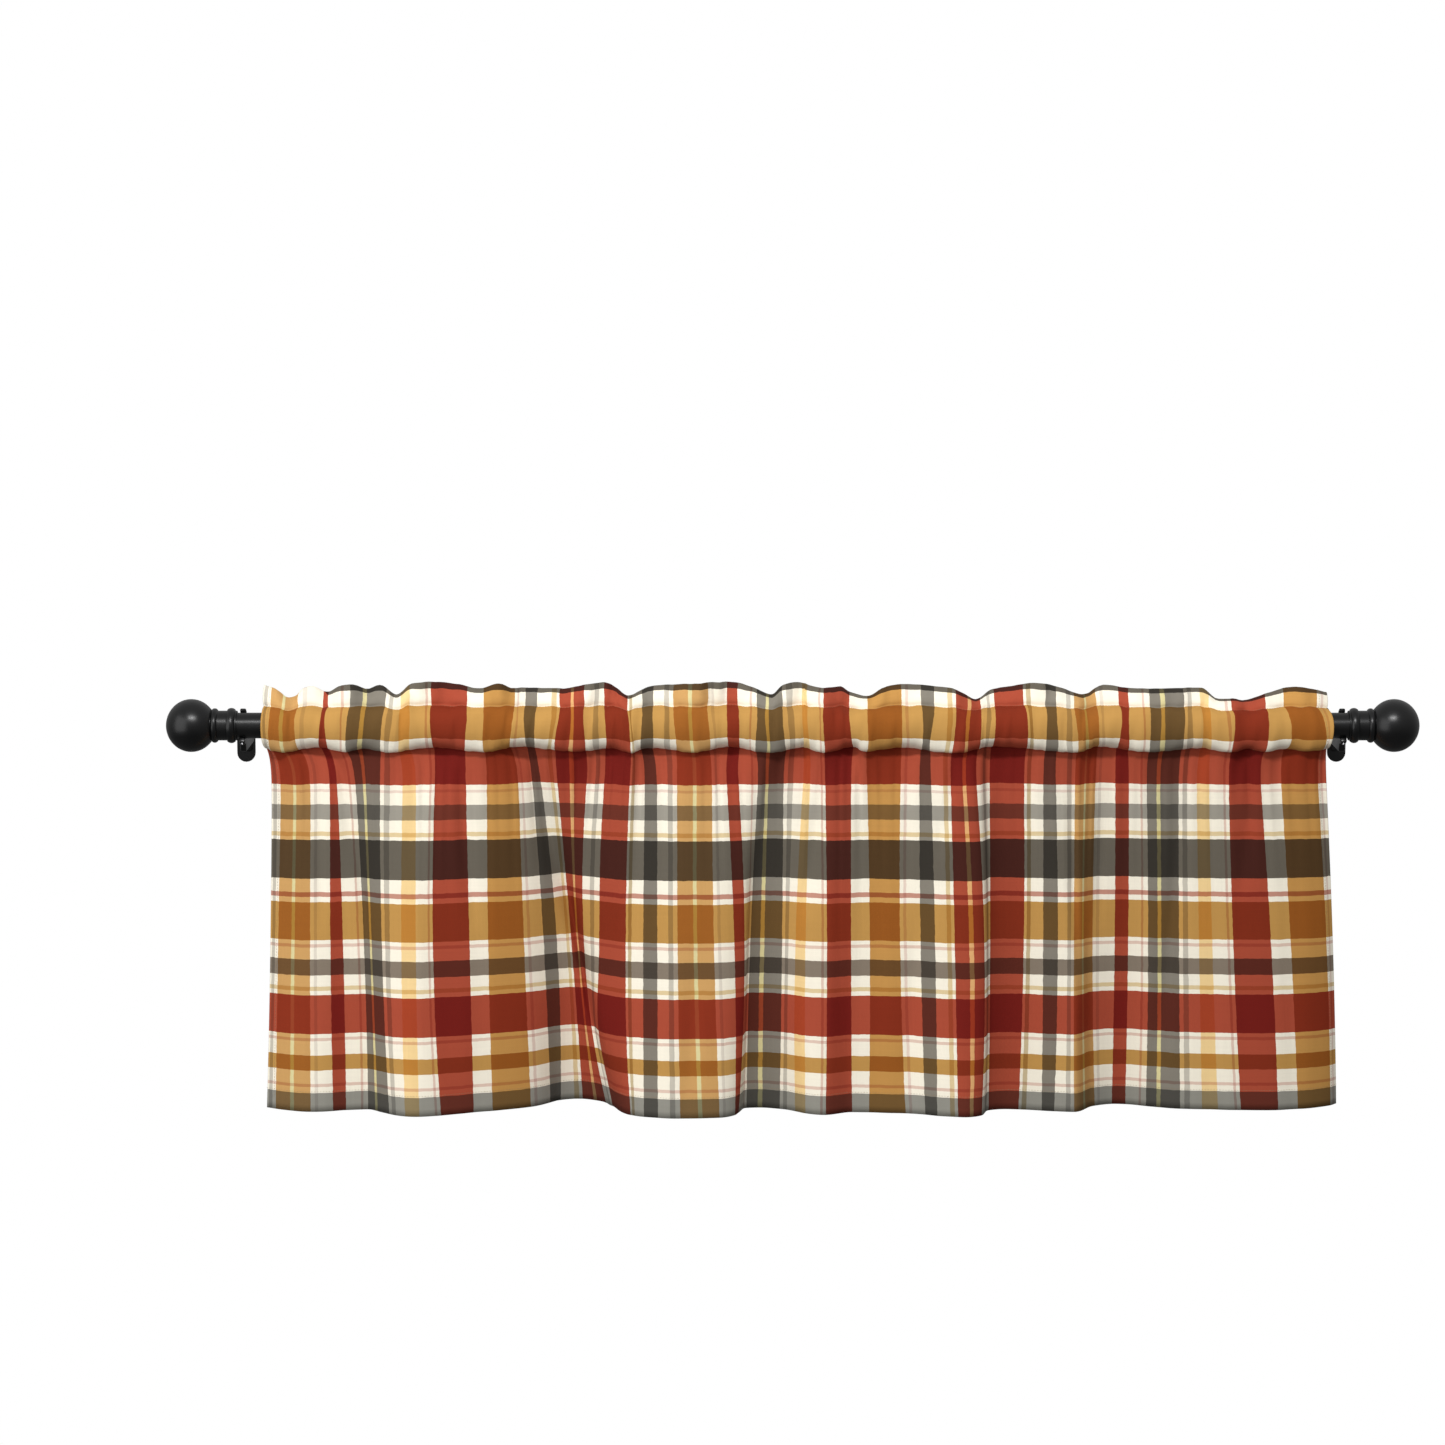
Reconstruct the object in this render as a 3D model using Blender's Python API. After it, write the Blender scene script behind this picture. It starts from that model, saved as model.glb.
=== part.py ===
"""A gathered window valance hanging on a curtain rod, with the rod's finials and wall brackets.

X runs along the rod, Z is up, and the wall is the plane Y = 0, with the room towards -Y. The origin
is on the wall, at the height of the rod's axis and midway between the finials.

The valance is one cloth. Its top is turned over to the back and stitched down along two lines, which
make a standing header and, under it, the pocket that the rod runs through. Below the pocket the
cloth hangs free down to its hem. All lengths here are in millimetres.
"""

import math

import bmesh
import bpy
from mathutils import Vector

MM = 0.001

# The rod and where it hangs.
ROD_RADIUS = 14.0
ROD_WALL = 1.2
ROD_FROM_WALL = 85.0
ROUND_SIDES = 32

# The finials: a ball, slightly flattened along the rod, on a turned collar that caps the rod's end.
BALL_CENTRE_X = 649.5
BALL_HALF_LENGTH = 27.3
BALL_RADIUS = 28.9
COLLAR_START_X = 628.0
COLLAR_BORE_RADIUS = ROD_RADIUS + 0.3
COLLAR_WEB = 6.0
STUB_RADIUS = 9.0
STUB_LENGTH = 5.0
PIECE_GAP = 0.3

# The collar's two rounded rings and the plain neck that they stand on.
COLLAR_LENGTH = 28.0
COLLAR_NECK_RADIUS = 16.2
COLLAR_RINGS = (
    # (start, measured from the ball, end, radius at the crest)
    (0.4, 7.4, 18.9),
    (17.4, 26.4, 19.3),
)

# The brackets: a wall plate with a slot for its screw, an arm, and a cradle under and behind the rod.
PLATE_CENTRE_X = 600.0
PLATE_WIDTH = 20.0
PLATE_TOP_Z = -6.0
PLATE_BOTTOM_Z = -52.0
PLATE_THICKNESS = 3.0
SLOT_WIDTH = 3.4
SLOT_LENGTH = 8.0
SLOT_CENTRE_X = 597.0
SLOT_CENTRE_Z = -36.0
ARM_CENTRE_X = 594.0
ARM_WIDTH = 6.6
ARM_BOTTOM_Z = -29.0
ARM_EDGE_RADIUS = 1.3
CRADLE_INNER_RADIUS = ROD_RADIUS + 0.3
CRADLE_OUTER_RADIUS = 18.8
CRADLE_FRONT_ANGLE = 232.0
CRADLE_BACK_ANGLE = 430.0
SCREW_ANGLE = 246.0
SCREW_RADIUS = 1.9
SCREW_CLEARANCE = 0.3
SCREW_PROUD = 1.4

# The screw in each plate's slot.
WALL_SCREW_RADIUS = 1.4
SCREW_HEAD_RADIUS = 4.3
SCREW_HEAD_CROWN = 2.4
SCREW_HEAD_HEIGHT = 2.2
SCREW_HEAD_STEPS = 4
SCREW_SIDES = 20

# The valance: its flat width, its thickness, and the heights of its stitched lines and its hem.
FLAT_WIDTH = 1371.0
CLOTH_THICKNESS = 1.5
HEM_EXTRA_THICKNESS = 1.0
HEADER_SEAM_Z = 20.5
POCKET_SEAM_Z = -26.0
SEAM_DIP = 0.26
HEM_LEFT_Z = -421.5
HEM_RIGHT_Z = -427.5
POCKET_HALF_DEPTH = 18.6
POCKET_BULGE = 3.5
HEADER_GAP = 1.6
HEADER_FULL_Z = 45.0
HEADER_LEAN = 0.8
FOLD_SETTLE_POWER = 2.5

# Where the folds are at the pocket's lower seam, and how far each stands towards the room.
SEAM_FOLDS = (
    # (along the flat cloth, x, forward)
    (0.0, -568.0, -4.0),
    (32.0, -549.0, 8.0),
    (78.0, -510.0, -8.0),
    (117.0, -483.0, 6.0),
    (135.0, -466.0, -2.0),
    (164.0, -438.0, 9.0),
    (216.0, -389.0, -6.0),
    (279.0, -333.0, 7.0),
    (335.0, -292.0, -12.0),
    (400.0, -239.0, 5.0),
    (440.0, -200.0, -3.0),
    (471.0, -177.0, 10.0),
    (509.0, -146.0, -5.0),
    (553.0, -106.0, 8.0),
    (598.0, -74.0, -9.0),
    (654.0, -22.0, 9.0),
    (696.0, 14.0, -8.0),
    (735.0, 35.0, 9.0),
    (775.0, 63.0, -8.0),
    (796.0, 77.0, 5.0),
    (839.0, 116.0, -6.0),
    (916.0, 182.0, 10.0),
    (952.0, 212.0, -9.0),
    (1052.0, 305.0, 8.0),
    (1094.0, 326.0, -13.0),
    (1156.0, 382.0, 6.0),
    (1216.0, 435.0, -5.0),
    (1255.0, 467.0, 7.0),
    (1274.0, 483.0, -3.0),
    (1295.0, 500.0, 6.0),
    (1318.0, 522.0, -3.0),
    (1339.0, 543.0, 4.0),
    (1371.0, 573.0, -4.0),
)

# The same at the hem, where the small gathers have opened out into broad folds.
HEM_FOLDS = (
    # (along the flat cloth, x, forward)
    (0.0, -567.0, 2.0),
    (55.0, -521.0, 24.0),
    (117.0, -459.0, 11.0),
    (154.0, -437.0, 35.0),
    (184.0, -412.0, 45.0),
    (256.0, -345.0, 19.0),
    (319.0, -284.0, -2.0),
    (377.0, -228.0, -30.0),
    (394.0, -217.0, -38.0),
    (410.0, -207.0, -30.0),
    (432.0, -196.0, -12.0),
    (471.0, -176.0, 19.0),
    (532.0, -122.0, 44.0),
    (575.0, -80.0, 41.0),
    (598.0, -62.0, 27.0),
    (637.0, -49.0, -9.0),
    (673.0, -14.0, -4.0),
    (735.0, 36.0, 26.0),
    (775.0, 63.0, 4.0),
    (839.0, 121.0, 15.0),
    (896.0, 178.0, 30.0),
    (930.0, 205.0, 13.0),
    (952.0, 212.0, -9.0),
    (991.0, 245.0, -3.0),
    (1052.0, 304.0, 6.0),
    (1094.0, 325.0, -29.0),
    (1124.0, 352.0, -36.0),
    (1193.0, 418.0, -20.0),
    (1280.0, 507.0, -10.0),
    (1318.0, 545.0, -15.0),
    (1358.0, 580.0, -33.0),
    (1371.0, 587.0, -43.0),
)

# The header's upper edge, high between the gathers and low where it flops over.
HEADER_EDGE = (
    # (x, z)
    (-571.0, 42.0),
    (-544.0, 29.0),
    (-520.0, 40.0),
    (-505.0, 34.0),
    (-481.0, 44.0),
    (-460.0, 38.0),
    (-446.0, 43.0),
    (-428.0, 33.0),
    (-392.0, 47.0),
    (-339.0, 39.0),
    (-317.0, 45.0),
    (-304.0, 38.0),
    (-251.0, 39.0),
    (-203.0, 46.0),
    (-178.0, 32.0),
    (-154.0, 40.0),
    (-90.0, 46.0),
    (-23.0, 33.0),
    (0.0, 46.0),
    (40.0, 40.0),
    (82.0, 30.0),
    (120.0, 43.0),
    (170.0, 40.0),
    (199.0, 27.0),
    (265.0, 46.0),
    (317.0, 32.0),
    (338.0, 42.0),
    (433.0, 40.0),
    (460.0, 28.0),
    (488.0, 26.0),
    (545.0, 42.0),
    (584.0, 33.0),
)

# The deepest fold runs slantwise: it starts at one place on the cloth and reaches the hem at another.
SLANT_START = 335.0
SLANT_SHIFT = 59.0
SLANT_REACH = 75.0

# How far the cloth's two ends reach outwards around the rod, and the left edge's waist below it.
LEFT_END_REACH = -5.0
RIGHT_END_REACH = 8.0
END_FADE = 150.0
LEFT_WAIST = 6.0

# How finely the cloth is cut into faces.
STATIONS = 81
POCKET_STEPS = (0.14, 0.3, 0.46, 0.62, 0.8)
HEADER_STEPS = (0.3, 0.62, 0.9)
SKIRT_STEPS = (0.0, 0.02, 0.1, 0.24, 0.4, 0.57, 0.74, 0.905, 1.0)
HEM_STEPS_FROM = 0.9


def clear_scene():
    for thing in list(bpy.data.objects):
        bpy.data.objects.remove(thing, do_unlink=True)


def material(name, colour, roughness, metallic):
    made = bpy.data.materials.new(name)
    made.use_nodes = True
    shader = made.node_tree.nodes["Principled BSDF"]
    shader.inputs["Base Color"].default_value = (*colour, 1.0)
    shader.inputs["Roughness"].default_value = roughness
    shader.inputs["Metallic"].default_value = metallic
    return made


def add_object(name, mesh, slot, smooth_angle=None):
    """A linked object, its mesh in metres, smooth except along edges sharper than the angle."""
    mesh.materials.append(slot)
    if smooth_angle is not None:
        mesh.shade_smooth()
        mesh.set_sharp_from_angle(angle=math.radians(smooth_angle))
    made = bpy.data.objects.new(name, mesh)
    bpy.context.scene.collection.objects.link(made)
    return made


def mesh_of(name, points, faces):
    """A mesh in metres from points in millimetres, its faces turned to point outwards."""
    mesh = bpy.data.meshes.new(name)
    mesh.from_pydata([Vector(point) * MM for point in points], [], faces)
    shape = bmesh.new()
    shape.from_mesh(mesh)
    bmesh.ops.recalc_face_normals(shape, faces=shape.faces)
    shape.to_mesh(mesh)
    shape.free()
    return mesh


def turned(name, outline, side):
    """A solid turned about the rod's axis from a closed outline of (x, radius) points."""
    points = []
    for step in range(ROUND_SIDES):
        angle = math.tau * step / ROUND_SIDES
        for x, radius in outline:
            y = radius * math.cos(angle) - ROD_FROM_WALL
            points.append((side * x, y, radius * math.sin(angle)))
    count = len(outline)
    faces = []
    for step in range(ROUND_SIDES):
        after = (step + 1) % ROUND_SIDES
        for i in range(count):
            j = (i + 1) % count
            if outline[i][1] == 0.0 and outline[j][1] == 0.0:
                continue
            corners = (step * count + i, step * count + j, after * count + j, after * count + i)
            faces.append(corners)
    mesh = mesh_of(name, points, faces)
    shape = bmesh.new()
    shape.from_mesh(mesh)
    bmesh.ops.remove_doubles(shape, verts=shape.verts, dist=0.00001)
    bmesh.ops.dissolve_degenerate(shape, edges=shape.edges, dist=0.00001)
    bmesh.ops.recalc_face_normals(shape, faces=shape.faces)
    shape.to_mesh(mesh)
    shape.free()
    return mesh


def slope_at(rows, i, column):
    """The slope of a smooth curve through the rows that keeps each crest and each hollow in place."""
    if i == 0 or i == len(rows) - 1:
        a, b = (0, 1) if i == 0 else (-2, -1)
        return (rows[b][column] - rows[a][column]) / (rows[b][0] - rows[a][0])
    before = (rows[i][column] - rows[i - 1][column]) / (rows[i][0] - rows[i - 1][0])
    after = (rows[i + 1][column] - rows[i][column]) / (rows[i + 1][0] - rows[i][0])
    if before * after <= 0.0:
        return 0.0
    return 2.0 * before * after / (before + after)


def read_off(rows, at, column):
    """The value of one column of a table, read off a smooth curve at a place between its rows."""
    at = min(max(at, rows[0][0]), rows[-1][0])
    i = 0
    while i < len(rows) - 2 and rows[i + 1][0] < at:
        i += 1
    width = rows[i + 1][0] - rows[i][0]
    s = (at - rows[i][0]) / width
    start, end = rows[i][column], rows[i + 1][column]
    leaving = slope_at(rows, i, column) * width
    arriving = slope_at(rows, i + 1, column) * width
    rise = s * s * (3.0 - 2.0 * s)
    ease = s * (1.0 - s) * ((1.0 - s) * leaving - s * arriving)
    return start + (end - start) * rise + ease


def fade(distance, reach):
    """1 at no distance, falling smoothly to 0 at the reach."""
    s = min(max(distance / reach, 0.0), 1.0)
    return 1.0 - s * s * (3.0 - 2.0 * s)


def end_reach(flat):
    left = LEFT_END_REACH * fade(flat, END_FADE)
    right = RIGHT_END_REACH * fade(FLAT_WIDTH - flat, END_FADE)
    return left + right


def fold(flat, fall):
    """(x, forward) of the hanging cloth: fall is 0 at the pocket seam and 1 at the hem."""
    settled = 1.0 - (1.0 - fall) ** FOLD_SETTLE_POWER
    x = (1.0 - settled) * read_off(SEAM_FOLDS, flat, 1) + settled * read_off(HEM_FOLDS, flat, 1)
    x += LEFT_WAIST * fade(flat, END_FADE) * math.sin(math.pi * fall**0.5)
    line = SLANT_START + SLANT_SHIFT * settled
    slant = SLANT_SHIFT * fade(abs(flat - line), SLANT_REACH)
    top = read_off(SEAM_FOLDS, flat - slant * settled, 2)
    low = read_off(HEM_FOLDS, flat + slant * (1.0 - settled), 2)
    return x, (1.0 - settled) * top + settled * low


def cloth_point(x, forward, z):
    return Vector((x, -ROD_FROM_WALL - forward, z))


def seam_z(flat):
    """The pocket seam hangs lowest where a gather stands forward."""
    return POCKET_SEAM_Z - SEAM_DIP * read_off(SEAM_FOLDS, flat, 2)


def skirt(flat, fall):
    x, forward = fold(flat, fall)
    low = HEM_LEFT_Z + (HEM_RIGHT_Z - HEM_LEFT_Z) * flat / FLAT_WIDTH
    high = seam_z(flat)
    return cloth_point(x, forward, high + (low - high) * fall)


def pocket(flat, turn, towards_room):
    """The layer of the pocket before or behind the rod: turn is 0 at the header and 1 at the seam."""
    x, forward = fold(flat, 0.0)
    x += end_reach(flat) * math.sin(math.pi * turn)
    low = seam_z(flat)
    middle, half = (HEADER_SEAM_Z + low) / 2.0, (HEADER_SEAM_Z - low) / 2.0
    depth = POCKET_HALF_DEPTH + POCKET_BULGE * max(0.0, towards_room * forward / 10.0)
    line = forward * math.cos(math.pi * turn) ** 4
    around = towards_room * depth * math.sin(math.pi * turn) ** 0.8
    return cloth_point(x, line + around, middle + half * math.cos(math.pi * turn))


def header(flat, rise):
    """The middle of the doubled header: rise is 0 at its seam and 1 at its folded edge."""
    x, forward = fold(flat, 0.0)
    x += end_reach(flat) * 0.5 * rise
    edge = read_off(HEADER_EDGE, x, 1)
    lean = HEADER_LEAN * (HEADER_FULL_Z - edge)
    return cloth_point(x, forward - lean * rise, HEADER_SEAM_Z + (edge - HEADER_SEAM_Z) * rise)


def towards_room_normal(surface, flat, along):
    """The unit normal of a surface, on the side that faces the room where the cloth lies flat."""
    step_flat, step_along = 1.0, 0.02
    across = surface(flat + step_flat, along) - surface(flat - step_flat, along)
    if flat < step_flat:
        across = surface(flat + step_flat, along) - surface(flat, along)
    elif flat > FLAT_WIDTH - step_flat:
        across = surface(flat, along) - surface(flat - step_flat, along)
    high = max(along - step_along, 0.0)
    low = min(along + step_along, 1.0)
    down = surface(flat, low) - surface(flat, high)
    return down.cross(across).normalized()


def skirt_pair(flat, fall):
    """The front and back points of the hanging cloth, doubled along its seam and its hem."""
    middle = skirt(flat, fall)
    normal = towards_room_normal(skirt, flat, fall)
    half = CLOTH_THICKNESS / 2.0
    if fall == 0.0:
        return middle + normal * 2.0 * half, middle - normal * 2.0 * half
    extra = HEM_EXTRA_THICKNESS if fall > HEM_STEPS_FROM else 0.0
    return middle + normal * half, middle - normal * (half + extra)


def pocket_pair(flat, turn, towards_room):
    """The outer and inner points of one layer of the pocket."""

    def layer(at, along):
        return pocket(at, along, towards_room)

    middle = layer(flat, turn)
    outwards = towards_room_normal(layer, flat, turn) * towards_room
    half = CLOTH_THICKNESS / 2.0
    return middle + outwards * half, middle - outwards * half


def header_points(flat, rise):
    """Front outer, front inner, back inner and back outer points of the doubled header."""
    middle = header(flat, rise)
    normal = -towards_room_normal(header, flat, rise)
    near, far = HEADER_GAP, HEADER_GAP + CLOTH_THICKNESS
    return (
        middle + normal * far,
        middle + normal * near,
        middle - normal * near,
        middle - normal * far,
    )


def cloth_section():
    """The faces of one cut through the cloth, as tuples of point names, and the points' order."""
    cells = []
    rows = len(SKIRT_STEPS)
    for i in range(rows - 1):
        cells.append((f"sf{i}", f"sf{i + 1}", f"sb{i + 1}", f"sb{i}"))
    steps = len(POCKET_STEPS)
    cells.append(("sf0", "sb0", "low"))
    for side in "fb":
        outer = [f"h{side}0"] + [f"po{side}{i}" for i in range(steps)] + [f"s{side}0"]
        inner = ["top"] + [f"pi{side}{i}" for i in range(steps)] + ["low"]
        for i in range(steps + 1):
            cells.append((outer[i], outer[i + 1], inner[i + 1], inner[i]))
    cells.append(("hf0", "top", "hb0", "over"))
    rises = len(HEADER_STEPS)
    for side in "fb":
        outer = [f"h{side}0"] + [f"ho{side}{i}" for i in range(rises)] + ["edge"]
        inner = ["over"] + [f"hi{side}{i}" for i in range(rises)] + ["under"]
        for i in range(rises + 1):
            cells.append((outer[i], outer[i + 1], inner[i + 1], inner[i]))
    names = sorted({name for cell in cells for name in cell})
    return cells, names


def section_points(flat):
    """Every named point of the cloth's section at one place along the flat cloth."""
    points = {}
    for i, fall in enumerate(SKIRT_STEPS):
        points[f"sf{i}"], points[f"sb{i}"] = skirt_pair(flat, fall)
    seam = skirt(flat, 0.0)
    points["low"] = seam + Vector((0.0, 0.0, CLOTH_THICKNESS))
    for i, turn in enumerate(POCKET_STEPS):
        points[f"pof{i}"], points[f"pif{i}"] = pocket_pair(flat, turn, 1.0)
        points[f"pob{i}"], points[f"pib{i}"] = pocket_pair(flat, turn, -1.0)
    line = header(flat, 0.0)
    normal = -towards_room_normal(header, flat, 0.0)
    points["hf0"] = line + normal * CLOTH_THICKNESS
    points["hb0"] = line - normal * CLOTH_THICKNESS
    points["top"] = line - Vector((0.0, 0.0, CLOTH_THICKNESS))
    points["over"] = line + (header(flat, 1.0) - line) * 0.1
    for i, rise in enumerate(HEADER_STEPS):
        names = (f"hof{i}", f"hif{i}", f"hib{i}", f"hob{i}")
        points.update(zip(names, header_points(flat, rise)))
    edge, down = header(flat, 1.0), header(flat, 0.0) - header(flat, 1.0)
    points["edge"] = edge
    points["under"] = edge + down.normalized() * CLOTH_THICKNESS
    return points


def make_cloth(slot):
    """The section carried along the cloth from one end to the other, which stay open like a tunnel."""
    cells, names = cloth_section()
    number = {name: i for i, name in enumerate(names)}
    count = len(names)
    points = []
    for j in range(STATIONS):
        section = section_points(FLAT_WIDTH * j / (STATIONS - 1))
        points.extend(section[name] for name in names)
    uses = {}
    for cell in cells:
        for a, b in zip(cell, cell[1:] + cell[:1]):
            uses.setdefault(frozenset((a, b)), []).append((number[a], number[b]))
    rim = [edges[0] for edges in uses.values() if len(edges) == 1]
    faces = []
    for j in range(STATIONS - 1):
        here, there = j * count, (j + 1) * count
        faces.extend((here + a, here + b, there + b, there + a) for a, b in rim)
    last = (STATIONS - 1) * count
    for cell in cells:
        faces.append(tuple(number[name] for name in cell))
        faces.append(tuple(last + number[name] for name in cell))
    mesh = mesh_of("valance_cloth", points, faces)
    return add_object("valance_cloth", mesh, slot, smooth_angle=60.0)


def make_rod(slot):
    """A steel tube, open at both ends, which stop inside the collars."""
    end = COLLAR_START_X - COLLAR_WEB - PIECE_GAP
    inner = ROD_RADIUS - ROD_WALL
    outline = ((-end, ROD_RADIUS), (end, ROD_RADIUS), (end, inner), (-end, inner))
    return add_object("rod", turned("rod", outline, 1.0), slot, smooth_angle=40.0)


def make_ball(name, side, slot):
    """The ball, cut flat where it meets its collar, with the short stub that screws into it."""
    flat_x = COLLAR_START_X + PIECE_GAP
    outline = [(BALL_CENTRE_X + BALL_HALF_LENGTH, 0.0)]
    steps = 16
    cut = math.acos((flat_x - BALL_CENTRE_X) / BALL_HALF_LENGTH)
    for i in range(1, steps + 1):
        angle = cut * i / steps
        x = BALL_CENTRE_X + BALL_HALF_LENGTH * math.cos(angle)
        outline.append((x, BALL_RADIUS * math.sin(angle)))
    outline.append((flat_x, STUB_RADIUS))
    outline.append((flat_x - STUB_LENGTH, STUB_RADIUS))
    outline.append((flat_x - STUB_LENGTH, 0.0))
    return add_object(name, turned(name, outline, side), slot, smooth_angle=40.0)


def make_collar(name, side, slot):
    """The turned collar: a cup over the rod's end, with a hole in its floor for the ball's stub."""
    outline = [(COLLAR_START_X, COLLAR_NECK_RADIUS)]
    steps = 6
    for start, end, crest in COLLAR_RINGS:
        for i in range(steps + 1):
            angle = math.pi * i / steps
            along = (start + end) / 2.0 - (end - start) / 2.0 * math.cos(angle)
            radius = COLLAR_NECK_RADIUS + (crest - COLLAR_NECK_RADIUS) * math.sin(angle)
            outline.append((COLLAR_START_X - along, radius))
    outline.append((COLLAR_START_X - COLLAR_LENGTH, COLLAR_NECK_RADIUS))
    floor_x = COLLAR_START_X - COLLAR_WEB
    hole = STUB_RADIUS + PIECE_GAP
    outline.append((outline[-1][0], COLLAR_BORE_RADIUS))
    outline.append((floor_x, COLLAR_BORE_RADIUS))
    outline.append((floor_x, hole))
    outline.append((COLLAR_START_X, hole))
    return add_object(name, turned(name, outline, side), slot, smooth_angle=35.0)


def extruded(name, outline, low_x, high_x):
    """A solid between two planes across X, from an outline of (y, z) points."""
    points = [(x, y, z) for x in (low_x, high_x) for y, z in outline]
    count = len(outline)
    faces = [tuple(range(count)), tuple(range(count, 2 * count))]
    for i in range(count):
        j = (i + 1) % count
        faces.append((i, j, count + j, count + i))
    return mesh_of(name, points, faces)


def on_rod(radius, degrees):
    """(y, z) at an angle around the rod's axis: 270 degrees is under it and 360 is behind it."""
    angle = math.radians(degrees)
    return radius * math.cos(angle) - ROD_FROM_WALL, radius * math.sin(angle)


def arm_outline():
    """The arm and its cradle from the side: an arc under and behind the rod, then back to the wall."""
    steps = 14
    sweep = CRADLE_BACK_ANGLE - CRADLE_FRONT_ANGLE
    inner = [
        on_rod(CRADLE_INNER_RADIUS, CRADLE_FRONT_ANGLE + sweep * i / steps) for i in range(steps + 1)
    ]
    arm_meets = 334.0
    outer_sweep = CRADLE_BACK_ANGLE - arm_meets
    behind = [
        on_rod(CRADLE_OUTER_RADIUS, CRADLE_BACK_ANGLE - outer_sweep * i / 6) for i in range(7)
    ]
    middle = (CRADLE_OUTER_RADIUS + CRADLE_INNER_RADIUS) / 2.0
    tip = [on_rod(middle + 1.0, CRADLE_BACK_ANGLE + 5.0)]
    arm_end = -PLATE_THICKNESS + 0.5
    arm = [(arm_end, behind[-1][1] - 4.0), (arm_end, ARM_BOTTOM_Z), (-ROD_FROM_WALL + 4.0, ARM_BOTTOM_Z)]
    front_sweep = 268.0 - CRADLE_FRONT_ANGLE
    lip_radius = CRADLE_OUTER_RADIUS + 1.2
    lip = [on_rod(lip_radius, 268.0 - front_sweep * i / 4) for i in range(5)]
    return inner + tip + behind + arm + lip


def add_cut(target, cutter):
    cutter.hide_render = True
    cutter.display_type = "WIRE"
    cut = target.modifiers.new("cut", "BOOLEAN")
    cut.operation = "DIFFERENCE"
    cut.object = cutter


def rod_through(name, radius, start, end):
    """A round bar between two points, for a screw or its hole."""
    start, end = Vector(start), Vector(end)
    shape = bmesh.new()
    length = (end - start).length
    bmesh.ops.create_cone(
        shape, cap_ends=True, segments=16, radius1=radius * MM, radius2=radius * MM, depth=length * MM
    )
    turn = Vector((0.0, 0.0, 1.0)).rotation_difference((end - start).normalized())
    bmesh.ops.rotate(shape, verts=shape.verts, matrix=turn.to_matrix())
    bmesh.ops.translate(shape, verts=shape.verts, vec=(start + end) / 2.0 * MM)
    mesh = bpy.data.meshes.new(name)
    shape.to_mesh(mesh)
    shape.free()
    return mesh


def plate_outline(half_width, low, high, steps=10):
    """A strip with round ends, as (x, z) points about X = 0."""
    points = []
    for i in range(steps + 1):
        angle = math.pi * i / steps
        points.append((half_width * math.cos(angle), high - half_width + half_width * math.sin(angle)))
    for i in range(steps + 1):
        angle = math.pi + math.pi * i / steps
        points.append((half_width * math.cos(angle), low + half_width + half_width * math.sin(angle)))
    return points


def standing_plate(name, outline, centre_x, front_y, back_y):
    points = [(centre_x + x, y, z) for y in (front_y, back_y) for x, z in outline]
    count = len(outline)
    faces = [tuple(range(count)), tuple(range(count, 2 * count))]
    for i in range(count):
        j = (i + 1) % count
        faces.append((i, j, count + j, count + i))
    return mesh_of(name, points, faces)


def screw_ends(side, out_by, in_by):
    """Two points on the set screw's axis, which points at the rod's axis from below in front."""
    x = side * ARM_CENTRE_X
    outer, inner = on_rod(out_by, SCREW_ANGLE), on_rod(in_by, SCREW_ANGLE)
    return (x, *outer), (x, *inner)


def make_bracket(name, side, slot):
    """The wall plate and its arm, joined into one casting, with the plate's slot and the screw's hole."""
    outline = plate_outline(PLATE_WIDTH / 2.0, PLATE_BOTTOM_Z, PLATE_TOP_Z)
    centre = side * PLATE_CENTRE_X
    plate = standing_plate(name, outline, centre, -PLATE_THICKNESS, 0.0)
    bracket = add_object(name, plate, slot, smooth_angle=30.0)

    arm_x = side * ARM_CENTRE_X
    arm_mesh = extruded(f"{name}_arm", arm_outline(), arm_x - ARM_WIDTH / 2.0, arm_x + ARM_WIDTH / 2.0)
    arm = add_object(f"{name}_arm", arm_mesh, slot)
    arm.hide_render = True
    arm.display_type = "WIRE"
    rounded = arm.modifiers.new("rounded", "BEVEL")
    rounded.width = ARM_EDGE_RADIUS * MM
    rounded.segments = 2
    rounded.limit_method = "ANGLE"
    rounded.angle_limit = math.radians(50.0)
    join = bracket.modifiers.new("arm", "BOOLEAN")
    join.operation = "UNION"
    join.object = arm

    gap_outline = plate_outline(
        SLOT_WIDTH / 2.0,
        SLOT_CENTRE_Z - SLOT_LENGTH / 2.0,
        SLOT_CENTRE_Z + SLOT_LENGTH / 2.0,
        steps=6,
    )
    front_y, back_y = -PLATE_THICKNESS - 2.0, 2.0
    gap_mesh = standing_plate(f"{name}_slot", gap_outline, side * SLOT_CENTRE_X, front_y, back_y)
    add_cut(bracket, add_object(f"{name}_slot", gap_mesh, slot))

    start, end = screw_ends(side, CRADLE_OUTER_RADIUS + 8.0, CRADLE_INNER_RADIUS - 4.0)
    hole = rod_through(f"{name}_hole", SCREW_RADIUS + SCREW_CLEARANCE, start, end)
    add_cut(bracket, add_object(f"{name}_hole", hole, slot))
    return bracket


def make_set_screw(name, side, slot):
    """The screw that holds the rod in its cradle, standing a little proud of the lip."""
    out_by = CRADLE_OUTER_RADIUS + 1.2 + SCREW_PROUD
    start, end = screw_ends(side, out_by, ROD_RADIUS + PIECE_GAP)
    mesh = rod_through(name, SCREW_RADIUS, start, end)
    return add_object(name, mesh, slot, smooth_angle=40.0)


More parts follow.
